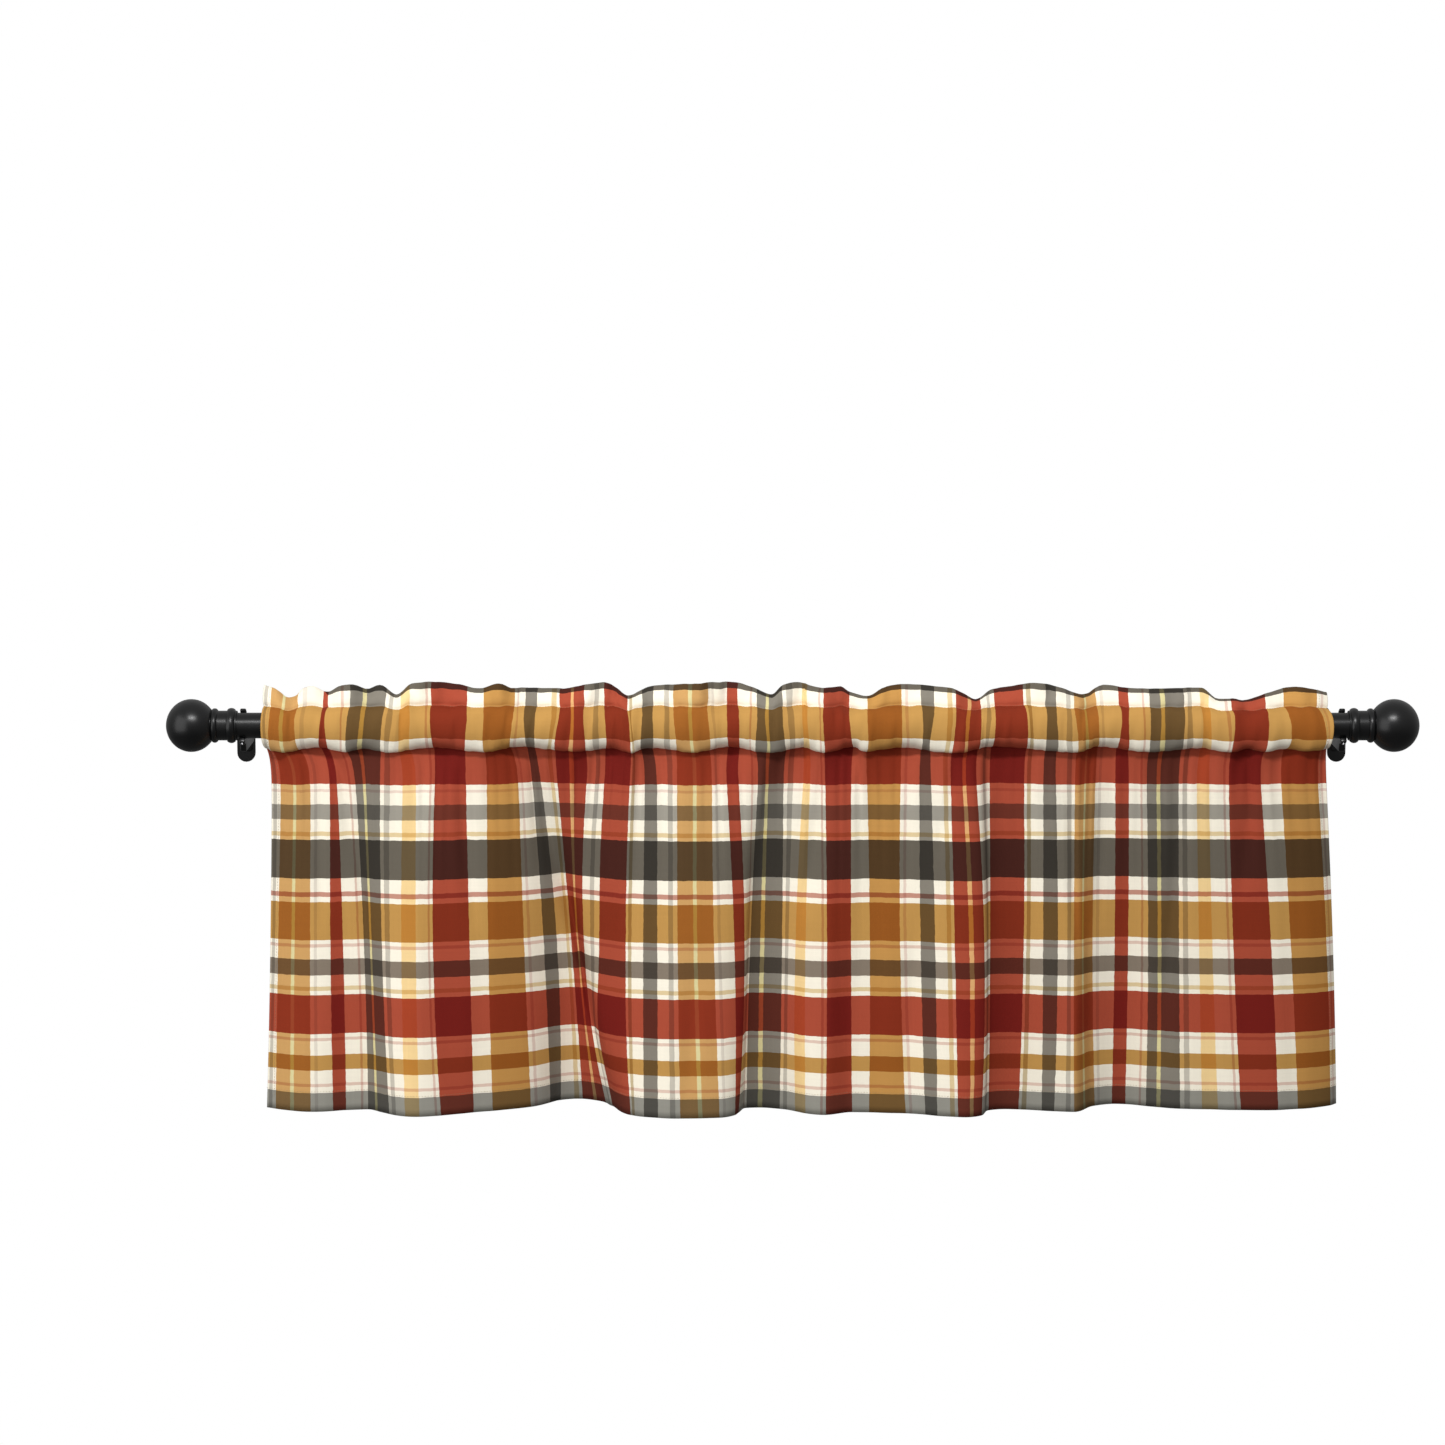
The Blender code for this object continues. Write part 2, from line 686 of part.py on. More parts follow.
def make_wall_screw(name, side, slot):
    """The pan-headed screw in the plate's slot, cut off where the wall starts."""
    seat_y = -PLATE_THICKNESS - PIECE_GAP
    rings = [(-PIECE_GAP, WALL_SCREW_RADIUS), (seat_y, WALL_SCREW_RADIUS)]
    for i in range(SCREW_HEAD_STEPS + 1):
        turn = math.pi / 2.0 * i / SCREW_HEAD_STEPS
        rounding = (SCREW_HEAD_RADIUS - SCREW_HEAD_CROWN) * math.cos(turn)
        rings.append((seat_y - SCREW_HEAD_HEIGHT * math.sin(turn), SCREW_HEAD_CROWN + rounding))
    points, faces = [], []
    for y, radius in rings:
        for step in range(SCREW_SIDES):
            angle = math.tau * step / SCREW_SIDES
            x = side * SLOT_CENTRE_X + radius * math.cos(angle)
            points.append((x, y, SLOT_CENTRE_Z + radius * math.sin(angle)))
    for ring in range(len(rings) - 1):
        for step in range(SCREW_SIDES):
            after = (step + 1) % SCREW_SIDES
            low, high = ring * SCREW_SIDES, (ring + 1) * SCREW_SIDES
            faces.append((low + step, high + step, high + after, low + after))
    faces.append(tuple(range(SCREW_SIDES)))
    faces.append(tuple(reversed(range(len(points) - SCREW_SIDES, len(points)))))
    return add_object(name, mesh_of(name, points, faces), slot, smooth_angle=40.0)


def build():
    clear_scene()
    cloth = material("plaid_cloth", (0.62, 0.38, 0.22), 0.9, 0.0)
    black = material("black_metal", (0.02, 0.02, 0.021), 0.42, 0.6)
    steel = material("screw_steel", (0.45, 0.45, 0.46), 0.3, 1.0)
    make_cloth(cloth)
    make_rod(black)
    for end, side in (("left", -1.0), ("right", 1.0)):
        make_ball(f"finial_ball_{end}", side, black)
        make_collar(f"finial_collar_{end}", side, black)
        make_bracket(f"bracket_{end}", side, black)
        make_set_screw(f"set_screw_{end}", side, steel)
        make_wall_screw(f"wall_screw_{end}", side, black)


build()
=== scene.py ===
"""A gathered plaid window valance on a black curtain rod with ball finials, for a close look.

X runs along the rod, Z is up, the wall is the plane Y = 0 and the room is towards -Y. Lengths in the
tables are in millimetres, and MM turns them into metres where a mesh or a material is made.

The cloth is one grid. Its rows follow the cloth down from the raw edge tucked in behind the pocket:
up the back of the pocket and of the header, over the header's fold, down the header's front and the
front of the pocket, then down the hanging part to the hem, which is turned up behind. Its columns
run from one turned-in side hem to the other. The map "cloth" holds each point's place on the flat
cloth in metres, so the plaid bends with the folds.
"""

import math

import bmesh
import bpy
import numpy as np
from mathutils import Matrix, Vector

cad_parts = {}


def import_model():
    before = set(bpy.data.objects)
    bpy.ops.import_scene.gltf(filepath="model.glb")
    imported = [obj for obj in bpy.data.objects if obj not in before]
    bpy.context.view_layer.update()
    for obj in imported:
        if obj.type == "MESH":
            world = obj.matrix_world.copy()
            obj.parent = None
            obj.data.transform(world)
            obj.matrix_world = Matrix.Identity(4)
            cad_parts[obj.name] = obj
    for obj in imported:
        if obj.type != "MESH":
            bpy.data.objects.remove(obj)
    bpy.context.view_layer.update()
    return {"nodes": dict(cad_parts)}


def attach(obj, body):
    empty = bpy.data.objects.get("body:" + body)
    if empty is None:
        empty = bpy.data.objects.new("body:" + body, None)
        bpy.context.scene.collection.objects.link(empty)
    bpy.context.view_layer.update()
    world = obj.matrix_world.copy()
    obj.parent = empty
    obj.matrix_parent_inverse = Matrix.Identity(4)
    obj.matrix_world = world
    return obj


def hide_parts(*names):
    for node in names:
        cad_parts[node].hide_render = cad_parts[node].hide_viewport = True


MM = 0.001

# The camera. Its height is read from the photograph, and its distance is taken as a usual one.
CAMERA_TARGET = (-75.8, -85.0, 3.3)
CAMERA_ELEVATION = 8.0
CAMERA_DISTANCE = 4500.0
FRAME_WIDTH = 1560.6
SENSOR_WIDTH = 36.0

# The rod and the stitched lines on it.
ROD_FROM_WALL = 85.0
HEADER_SEAM_Z = 20.5
POCKET_SEAM_Z = -26.0
SEAM_DIP = 0.26
POCKET_HALF_DEPTH = 18.6
POCKET_BULGE = 2.6

# The header: how far it bulges above its seam, and how far its two layers stand apart in the middle.
# Its folded edge lies HEADER_SHIFT further down the cloth at the left end, as far as HEADER_SHIFT_END.
HEADER_LENGTH = 25.5
HEADER_LIP = 2.2
HEADER_PUFF = 1.3
HEADER_SHIFT = 7.5
HEADER_SHIFT_END = 96.0

# The flat cloth: its finished width, the lengths of its parts and what is turned in.
FLAT_WIDTH = 1371.0
POCKET_LENGTH = 66.0
SKIRT_LENGTH = 397.0
HEM_LEFT_Z = -421.5
HEM_RIGHT_Z = -427.5
HEM_DEPTH = 25.0
SIDE_HEM = 12.0
TUCKED_EDGE = 9.0
CLOTH_THICKNESS = 0.32
LAYER_GAP = 0.7

# The tucked raw edge: how far up the pocket's back it reaches, as a share, and how far before it.
TUCKED_TURN = 0.12
TUCKED_GAP = 1.3

# One pixel of the photograph is this many millimetres at the rod, and X = 0 is in this column of it.
PHOTO_SCALE = 1.08
PHOTO_MIDDLE = 792.65

# Where the edges of the upright stripes hang. The other columns are the photograph's pixel columns.
STRIPE_EDGES = (
    # (along the flat cloth in mm, header, pocket seam, 45 mm below it, half-way, hem)
    (0.0, 264.0, 266.8, 272.0, 271.0, 267.9),
    (13.0, 271.5, 272.4, 281.0, 278.5, 276.1),
    (55.0, 298.0, 300.0, 310.6, 310.0, 310.4),
    (78.0, 322.0, 320.4, 330.0, 330.0, 332.3),
    (93.0, 328.0, 328.6, 337.5, 342.0, 345.4),
    (117.0, 350.0, 347.0, 356.0, 363.0, 367.7),
    (154.0, 386.0, 381.0, 380.0, 381.5, 388.0),
    (177.0, 401.0, 399.0, 403.0, 401.5, 404.5),
    (192.0, 409.0, 410.0, 416.0, 415.5, 418.4),
    (216.0, 431.0, 434.0, 434.5, 432.5, 439.0),
    (256.0, 467.0, 465.0, 466.0, 469.0, 473.0),
    (279.0, 484.0, 485.0, 487.0, 488.0, 492.0),
    (319.0, 514.0, 510.0, 518.6, 523.0, 529.5),
    (341.0, 525.0, 527.0, 533.0, 542.5, 549.6),
    (355.0, 537.5, 535.0, 542.0, 555.5, 560.9),
    (377.0, 560.0, 555.5, 558.0, 569.5, 581.1),
    (410.0, 584.0, 585.0, 586.0, 583.0, 601.0),
    (433.0, 604.5, 605.5, 604.0, 600.0, 610.9),
    (471.0, 627.0, 631.0, 629.0, 625.5, 629.3),
    (495.0, 642.0, 641.0, 645.0, 643.5, 643.9),
    (509.0, 653.0, 652.0, 657.0, 657.0, 657.6),
    (532.0, 673.5, 676.0, 676.7, 677.0, 679.3),
    (575.0, 707.5, 709.5, 712.4, 714.0, 718.9),
    (598.0, 727.0, 729.0, 727.0, 734.0, 735.5),
    (613.0, 738.0, 740.0, 739.0, 744.5, 740.2),
    (637.0, 757.0, 756.0, 757.8, 751.0, 746.8),
    (651.0, 767.5, 768.5, 767.0, 763.3, 761.0),
    (673.0, 782.0, 786.0, 783.0, 782.0, 779.8),
    (696.0, 802.0, 803.0, 802.7, 796.0, 794.7),
    (712.0, 808.0, 810.0, 810.0, 806.0, 805.3),
    (735.0, 823.0, 824.0, 825.0, 826.5, 825.6),
    (775.0, 849.0, 853.0, 850.6, 850.5, 851.3),
    (798.0, 867.0, 866.0, 867.0, 869.5, 869.0),
    (839.0, 902.0, 901.5, 900.6, 900.0, 904.6),
    (860.0, 921.0, 920.5, 919.0, 920.0, 924.0),
    (874.0, 934.0, 930.0, 931.0, 934.5, 936.7),
    (896.0, 955.0, 951.0, 950.6, 954.0, 957.3),
    (930.0, 981.0, 978.0, 977.0, 984.0, 982.7),
    (952.0, 995.0, 991.0, 989.4, 990.0, 988.7),
    (991.0, 1024.0, 1026.5, 1024.0, 1024.0, 1019.6),
    (1014.0, 1045.0, 1045.0, 1043.0, 1043.0, 1041.8),
    (1029.0, 1056.0, 1057.0, 1056.0, 1058.0, 1055.2),
    (1052.0, 1073.5, 1076.5, 1075.0, 1074.0, 1074.0),
    (1094.0, 1097.0, 1097.5, 1095.0, 1092.5, 1093.9),
    (1117.0, 1119.0, 1116.0, 1115.0, 1114.5, 1112.0),
    (1132.0, 1129.0, 1127.5, 1128.6, 1128.0, 1125.5),
    (1156.0, 1149.0, 1149.0, 1146.5, 1148.0, 1146.3),
    (1193.0, 1184.0, 1182.0, 1178.6, 1179.0, 1180.0),
    (1216.0, 1201.0, 1201.0, 1197.0, 1199.0, 1201.9),
    (1231.0, 1209.0, 1210.0, 1209.0, 1211.5, 1216.8),
    (1255.0, 1231.0, 1231.0, 1228.6, 1232.5, 1239.4),
    (1295.0, 1265.0, 1264.0, 1261.0, 1270.0, 1277.2),
    (1318.0, 1284.0, 1284.0, 1281.6, 1290.0, 1297.3),
    (1358.0, 1316.0, 1320.0, 1318.0, 1325.5, 1330.0),
    (1371.0, 1327.0, 1326.0, 1326.0, 1332.0, 1335.8),
)
UPPER_FALL = 0.115
MIDDLE_FALL = 0.485
LOW_FALL = 0.93
SEAM_EASE = 14.0

# How far the gathers at the pocket seam stand towards the room. Each reach below is how far down the
# hanging part its gathers, or the seam's dips, fade to a third.
SEAM_DEPTHS = (
    # (along the flat cloth, forward)
    (0.0, -4.0),
    (32.0, 7.0),
    (78.0, -7.0),
    (117.0, 6.0),
    (135.0, -3.0),
    (164.0, 8.0),
    (216.0, -6.0),
    (279.0, 6.0),
    (335.0, -9.0),
    (400.0, 5.0),
    (440.0, -4.0),
    (471.0, 9.0),
    (509.0, -5.0),
    (553.0, 8.0),
    (598.0, -8.0),
    (654.0, 8.0),
    (696.0, -7.0),
    (735.0, 8.0),
    (775.0, -8.0),
    (796.0, 5.0),
    (839.0, -6.0),
    (900.0, 9.0),
    (950.0, -9.0),
    (1052.0, 7.0),
    (1094.0, -9.0),
    (1156.0, 6.0),
    (1216.0, -5.0),
    (1255.0, 7.0),
    (1274.0, -3.0),
    (1295.0, 6.0),
    (1318.0, -3.0),
    (1339.0, 4.0),
    (1371.0, -4.0),
)
GATHER_REACH = 26.0
SEAM_DIP_REACH = 20.0
FINE_GATHER_REACH = 60.0
FINE_GATHER_DEPTH = 4.2

# The same at the hem, where the gathers have opened out into broad folds.
HEM_DEPTHS = (
    # (along the flat cloth, forward)
    (0.0, 2.0),
    (55.0, 22.0),
    (117.0, 9.0),
    (140.0, 22.0),
    (184.0, 43.0),
    (256.0, 21.0),
    (319.0, -6.0),
    (352.0, -38.0),
    (372.0, -47.0),
    (400.0, -36.0),
    (432.0, -6.0),
    (471.0, 29.0),
    (532.0, 45.0),
    (575.0, 40.0),
    (600.0, 26.0),
    (614.0, 14.0),
    (632.0, -6.0),
    (650.0, -9.0),
    (673.0, -4.0),
    (735.0, 24.0),
    (775.0, 10.0),
    (839.0, 15.0),
    (905.0, 32.0),
    (931.0, 22.0),
    (949.0, 0.0),
    (975.0, -8.0),
    (1052.0, 4.0),
    (1090.0, -24.0),
    (1120.0, -36.0),
    (1193.0, -14.0),
    (1280.0, -8.0),
    (1318.0, -15.0),
    (1358.0, -33.0),
    (1371.0, -43.0),
)
HEM_FOLD_POWER = 0.8

# Some folds keep a sharp step from the seam down: the cloth falls back to the right of it.
SHARP_STEPS = (
    # (along the flat cloth at the seam, at the hem, width, depth)
    (941.0, 941.0, 26.0, 19.0),
    (652.0, 604.0, 24.0, 14.0),
    (478.0, 470.0, 20.0, 6.0),
    (786.0, 776.0, 24.0, 8.0),
)

# The slanting valley of the deepest fold: it crosses the cloth's threads on its way down.
VALLEY_LINE = (
    # (fall, along the flat cloth, depth, half width)
    (0.0, 332.0, 1.0, 20.0),
    (0.12, 346.0, 7.0, 22.0),
    (0.3, 364.0, 10.0, 21.0),
    (0.43, 380.0, 12.0, 17.0),
    (0.62, 404.0, 13.0, 14.0),
    (0.76, 418.0, 12.5, 13.0),
    (0.93, 431.0, 10.0, 12.0),
    (1.0, 435.0, 8.0, 11.0),
)

# In its lower half that fold closes over its valley. There the cloth moves to the left by this many
# pixel columns, most of all at TUCK, a place along the flat cloth and a fall.
TUCK = (440.0, 0.78)
TUCK_REACH = (22.0, 0.17)
TUCK_COLUMNS = 7.5

# Shallow slanting troughs.
TROUGHS = (
    # (along the flat cloth at the top, at the bottom, top fall, bottom fall, depth, half width)
    (730.0, 712.0, 0.03, 0.46, 5.5, 11.0),
    (100.0, 128.0, 0.02, 0.6, 4.0, 9.0),
    (58.0, 70.0, 0.0, 0.5, 3.0, 8.0),
    (246.0, 262.0, 0.05, 0.5, 4.0, 8.0),
    (906.0, 880.0, 0.0, 0.3, 3.0, 8.0),
    (1040.0, 1062.0, 0.0, 0.7, 5.0, 9.0),
    (1110.0, 1098.0, 0.0, 0.5, 3.5, 8.0),
    (1200.0, 1168.0, 0.05, 0.9, 4.0, 10.0),
    (1284.0, 1268.0, 0.0, 0.4, 3.0, 8.0),
    (556.0, 540.0, 0.5, 1.0, 2.5, 10.0),
    (860.0, 842.0, 0.4, 1.0, 3.0, 9.0),
)

# The header's upper edge, high between the gathers and low where it flops over.
HEADER_EDGE = (
    # (x, z)
    (-571.0, 42.0),
    (-559.0, 38.7),
    (-545.0, 29.0),
    (-538.0, 30.0),
    (-530.0, 38.7),
    (-520.0, 40.4),
    (-505.0, 33.8),
    (-487.0, 43.1),
    (-477.0, 44.5),
    (-460.0, 37.6),
    (-446.0, 43.1),
    (-428.0, 32.7),
    (-412.0, 44.2),
    (-392.0, 46.9),
    (-364.0, 44.2),
    (-339.0, 39.3),
    (-317.0, 45.3),
    (-304.0, 38.2),
    (-251.0, 38.7),
    (-218.0, 44.7),
    (-203.0, 45.8),
    (-189.0, 38.2),
    (-178.0, 31.6),
    (-154.0, 40.4),
    (-90.0, 46.4),
    (-61.0, 45.3),
    (-39.0, 38.7),
    (-23.0, 32.7),
    (-10.0, 43.1),
    (0.0, 46.0),
    (32.0, 40.4),
    (51.0, 40.4),
    (63.0, 33.3),
    (82.0, 30.5),
    (98.0, 39.3),
    (120.0, 43.1),
    (170.0, 40.4),
    (185.0, 33.8),
    (199.0, 26.1),
    (216.0, 36.1),
    (237.0, 40.5),
    (265.0, 45.8),
    (289.0, 40.5),
    (317.0, 31.7),
    (338.0, 42.0),
    (361.0, 39.4),
    (443.0, 38.7),
    (460.0, 27.3),
    (476.0, 27.8),
    (489.0, 24.5),
    (510.0, 32.8),
    (524.0, 36.5),
    (545.0, 40.9),
    (564.0, 37.6),
    (577.0, 33.8),
)

# How far the cloth's two ends reach outwards around the rod.
LEFT_END_REACH = -2.5
RIGHT_END_REACH = 5.5
END_FADE = 150.0

# Metal edges that turn by more than SHARP_ANGLE stay sharp. Triangles within PAIR_ANGLE are paired up.
SHARP_ANGLE = math.radians(34.0)
PAIR_ANGLE = math.radians(14.0)

# The plaid's dyes, as (red, green, blue) on the screen, from 0 to 255. They show through each other.
DYES = {
    "cream": (254, 250, 240),
    "red": (173, 76, 54),
    "gold": (198, 148, 81),
    "pale gold": (208, 163, 104),
    "weft gold": (194, 149, 82),
    "warp grey": (135, 131, 124),
    "grey": (158, 155, 149),
    "brown grey": (135, 124, 113),
    "hem grey": (148, 148, 144),
    "dark grey": (102, 97, 89),
    "pale orange": (248, 218, 162),
    "pale yellow": (224, 216, 166),
    "orange": (232, 180, 124),
    "pink": (230, 205, 195),
    "faint pink": (236, 218, 210),
    "tan": (228, 208, 168),
    "brown": (206, 190, 158),
    "soft grey": (204, 200, 192),
    "faint grey": (232, 226, 218),
    "rose": (200, 148, 134),
}

# The upright stripes, one repeat. A line is thin, and its place is a share of what it lies on.
WARP_STRIPES = (
    # (dye, width, line's dye, line's place, line's width, cream after it, line's dye, place, width)
    ("pale gold", 42.1, "pale yellow", 0.49, 4.4, 23.2, "faint grey", 0.27, 3.4),
    ("red", 15.1, None, 0.0, 0.0, 23.8, "pink", 0.70, 2.6),
    ("warp grey", 36.7, "pale yellow", 0.37, 4.4, 22.7, "soft grey", 0.33, 5.8),
    ("pale orange", 15.7, None, 0.0, 0.0, 23.8, "pink", 0.78, 2.8),
    ("red", 40.0, None, 0.0, 0.0, 22.7, None, 0.0, 0.0),
    ("gold", 40.5, None, 0.0, 0.0, 21.6, "faint pink", 0.27, 3.2),
    ("warp grey", 14.0, None, 0.0, 0.0, 22.1, "tan", 0.72, 5.0),
    ("red", 33.5, "orange", 0.50, 4.6, 22.1, "soft grey", 0.58, 5.0),
    ("red", 38.9, None, 0.0, 0.0, 23.2, "brown", 0.24, 4.8),
    ("warp grey", 14.6, None, 0.0, 0.0, 23.2, "soft grey", 0.66, 5.6),
)
WARP_START = 13.0

# The level stripes down the cloth, from the tucked raw edge to the hem's raw edge.
WEFT_STRIPES = (
    # (dye, width) and, where a line lies on it, (line's dye, line's place, line's width)
    ("red", 15.0),
    ("cream", 24.0, "pink", 0.30, 3.0),
    ("weft gold", 15.5),
    ("cream", 24.5, "pink", 0.60, 3.0),
    ("dark grey", 39.9),
    ("cream", 18.5),
    ("weft gold", 42.0),
    ("cream", 24.0),
    ("red", 37.9),
    ("cream", 22.1, "faint pink", 0.32, 3.0),
    ("grey", 16.3),
    ("cream", 22.0, "tan", 0.72, 4.8),
    ("dark grey", 42.5),
    ("cream", 25.8, "rose", 0.675, 5.3),
    ("weft gold", 41.6),
    ("cream", 20.9, "pink", 0.29, 3.5),
    ("brown grey", 17.7),
    ("cream", 21.8, "tan", 0.675, 4.6),
    ("red", 42.8),
    ("cream", 23.5, "pink", 0.255, 3.3),
    ("weft gold", 16.7),
    ("cream", 24.8, "pink", 0.66, 3.4),
    ("hem grey", 37.9),
    ("cream", 12.0),
)
WEFT_ABOVE_SEAM = 203.4

# The stitching: lines across the cloth by their place down it, and the lines down its side hems.
STITCHED_ACROSS = (-183.0, -117.0, -66.0, 0.0, 375.0, 419.0)
STITCHED_SIDE = 10.5
STITCH_PITCH = 3.2
STITCH_LENGTH = 2.4
THREAD_WIDTH = 0.34
THREAD_DYE = (150, 128, 100)

# How the cloth's two sides look: the light value of the bare cotton, and (print lost, brightness).
UNPRINTED = (0.80, 0.76, 0.68, 1.0)
PRINTED_SIDE = (0.0, 0.95)
REVERSE_SIDE = (0.42, 0.9)

# The enamel's light value and roughness.
ENAMEL_COLOUR = (0.0018, 0.0019, 0.0021)
ENAMEL_ROUGHNESS = 0.31

# The world's strength from above and from below, and the soft boxes, in metres and watts.
WORLD_LIGHT = (0.54, 0.14)
LIGHTS = (
    # (name, place, what it aims at, width and height, power)
    ("top strip", (-0.1, -2.4, 2.1), (0.0, -0.08, -0.1), (1.6, 0.26), 68.0),
    ("left box", (-2.7, -2.2, 0.5), (0.0, -0.08, -0.2), (3.2, 3.2), 54.0),
)

# How finely the cloth is cut into faces. Its columns are closest together around FINE_MIDDLE.
COLUMNS = 396
FINE_MIDDLE = 398.0
FINE_REACH = 52.0
FINE_GAIN = 1.3
SIDE_HEM_STEPS = (0.0, 1.0, 4.0, 8.0, 12.0)
SKIRT_ROWS = 58
POCKET_ROWS = 14
HEADER_RISES = (0.0, 0.12, 0.26, 0.42, 0.58, 0.74, 0.86, 0.94, 0.98)
HEM_ROWS = 5


def add_object(name, data):
    made = bpy.data.objects.new(name, data)
    bpy.context.scene.collection.objects.link(made)
    return made


class Curve:
    """A smooth curve through a table's rows that keeps each crest and each hollow in place."""

    def __init__(self, rows, column):
        self.at = np.array([row[0] for row in rows])
        self.value = np.array([row[column] for row in rows])
        slope = np.diff(self.value) / np.diff(self.at)
        before, after = slope[:-1], slope[1:]
        both = before * after
        turning = both <= 0.0
        total = np.where(turning, 1.0, before + after)
        inner = np.where(turning, 0.0, 2.0 * both / total)
        self.slope = np.concatenate([slope[:1], inner, slope[-1:]])

    def __call__(self, where):
        where = np.clip(where, self.at[0], self.at[-1])
        i = np.clip(np.searchsorted(self.at, where) - 1, 0, len(self.at) - 2)
        width = self.at[i + 1] - self.at[i]
        s = (where - self.at[i]) / width
        start, end = self.value[i], self.value[i + 1]
        rise = s * s * (3.0 - 2.0 * s)
        leaving, arriving = self.slope[i] * width, self.slope[i + 1] * width
        return start + (end - start) * rise + s * (1.0 - s) * ((1.0 - s) * leaving - s * arriving)


HEADER_X, SEAM_X, UPPER_X, MIDDLE_X, LOW_X = (Curve(STRIPE_EDGES, column) for column in range(1, 6))
SEAM_FORWARD, HEM_FORWARD = Curve(SEAM_DEPTHS, 1), Curve(HEM_DEPTHS, 1)
VALLEY_PLACE, VALLEY_DEPTH, VALLEY_WIDTH = (Curve(VALLEY_LINE, column) for column in range(1, 4))
HEADER_TOP = Curve(HEADER_EDGE, 1)


def fade(distance, reach):
    """1 at no distance, falling smoothly to 0 at the reach."""
    s = np.clip(distance / reach, 0.0, 1.0)
    return 1.0 - s * s * (3.0 - 2.0 * s)


def pucker(flat, wave, seed):
    """Small uneven gathers along the cloth, between -1 and 1, about one to each wave length."""
    total = np.zeros_like(flat)
    for i, share in enumerate((0.5, 0.3, 0.2)):
        length = wave * (1.0, 0.62, 1.71)[i]
        phase = seed * (1.3, 2.1, 0.7)[i]
        drift = 1.9 * np.sin(flat / (wave * 4.3) + phase * 3.1)
        total += share * np.sin(math.tau * flat / length + phase + drift)
    return total


def end_reach(flat):
    left = LEFT_END_REACH * fade(flat, END_FADE)
    return left + RIGHT_END_REACH * fade(FLAT_WIDTH - flat, END_FADE)


def from_photo(column, forward, z):
    """The x of a point seen in a pixel column of the photograph, by its distance from the camera."""
    centre = CAMERA_TARGET[0]
    tilt = math.radians(CAMERA_ELEVATION)
    nearer = forward * math.cos(tilt) + (z - CAMERA_TARGET[2]) * math.sin(tilt)
    seen = (column - PHOTO_MIDDLE) * PHOTO_SCALE
    return centre + (seen - centre) * (1.0 - nearer / CAMERA_DISTANCE)


def forward_at(flat, fall):
    """How far the hanging cloth stands towards the room: fall is 0 at the pocket seam and 1 at the hem."""
    opened = fall**HEM_FOLD_POWER
    gathers = math.exp(-fall * SKIRT_LENGTH / GATHER_REACH)
    forward = gathers * SEAM_FORWARD(flat) + opened * HEM_FORWARD(flat)
    kept = (1.0 - opened) * (1.0 - gathers)
    for top, low, width, depth in SHARP_STEPS:
        middle = top + (low - top) * fall
        step = np.tanh((flat - middle) / (width / 3.0)) * fade(np.abs(flat - middle), 90.0)
        forward = forward - kept * depth / 2.0 * step
    for top, low, start, end, depth, width in TROUGHS:
        share = (fall - start) / (end - start)
        there = math.sin(math.pi * min(max(share, 0.0), 1.0)) ** 0.7
        forward = forward - depth * there * np.exp(-(((flat - top - (low - top) * share) / width) ** 2))
    place, depth, width = (curve(np.array(fall)) for curve in (VALLEY_PLACE, VALLEY_DEPTH, VALLEY_WIDTH))
    return forward - depth * np.exp(-(((flat - place) / width) ** 2))


def seen_column(flat, fall):
    """The photograph's pixel column of the hanging cloth, by a parabola through three levels."""
    a, b, c = UPPER_FALL, MIDDLE_FALL, LOW_FALL

    def level(at):
        upper = UPPER_X(flat) * (at - b) * (at - c) / ((a - b) * (a - c))
        middle = MIDDLE_X(flat) * (at - a) * (at - c) / ((b - a) * (b - c))
        return upper + middle + LOW_X(flat) * (at - a) * (at - b) / ((c - a) * (c - b))

    near_seam = math.exp(-fall * SKIRT_LENGTH / SEAM_EASE)
    near_tuck = np.exp(-(((flat - TUCK[0]) / TUCK_REACH[0]) ** 2) - ((fall - TUCK[1]) / TUCK_REACH[1]) ** 2)
    return level(fall) + (SEAM_X(flat) - level(0.0)) * near_seam - TUCK_COLUMNS * near_tuck


def fold(flat, fall):
    """(x, forward) of the hanging cloth."""
    forward = forward_at(flat, fall)
    z = POCKET_SEAM_Z - fall * SKIRT_LENGTH
    return from_photo(seen_column(flat, fall), forward, z), forward


def seam_z(flat):
    """The pocket seam hangs lowest where a gather stands forward."""
    return POCKET_SEAM_Z - SEAM_DIP * SEAM_FORWARD(flat) + 0.5 * pucker(flat, 17.0, 1.0)


def skirt_row(flat, fall):
    """One row of the hanging part, as (x, forward, z): its dips at the seam are soon lost."""
    x, forward = fold(flat, fall)
    low = HEM_LEFT_Z + (HEM_RIGHT_Z - HEM_LEFT_Z) * flat / FLAT_WIDTH
    near_seam = math.exp(-fall * SKIRT_LENGTH / SEAM_DIP_REACH)
    away = math.exp(-fall * SKIRT_LENGTH / FINE_GATHER_REACH)
    z = POCKET_SEAM_Z + (low - POCKET_SEAM_Z) * fall + near_seam * (seam_z(flat) - POCKET_SEAM_Z)
    forward = forward + FINE_GATHER_DEPTH * (away - near_seam) * pucker(flat, 16.0, 2.0)
    forward = forward + 0.6 * (1.0 - away) * pucker(flat + 14.0 * fall, 47.0, 3.0)
    return np.stack([x, forward, z], axis=1)


def crease_z(flat):
    """The header's stitched line, which sinks where the header flops over."""
    flopped = HEADER_TOP(from_photo(HEADER_X(flat), 0.0, 30.0)) - 40.0
    return HEADER_SEAM_Z + 0.28 * np.minimum(flopped, 2.0) + 1.0 * pucker(flat, 31.0, 7.0)


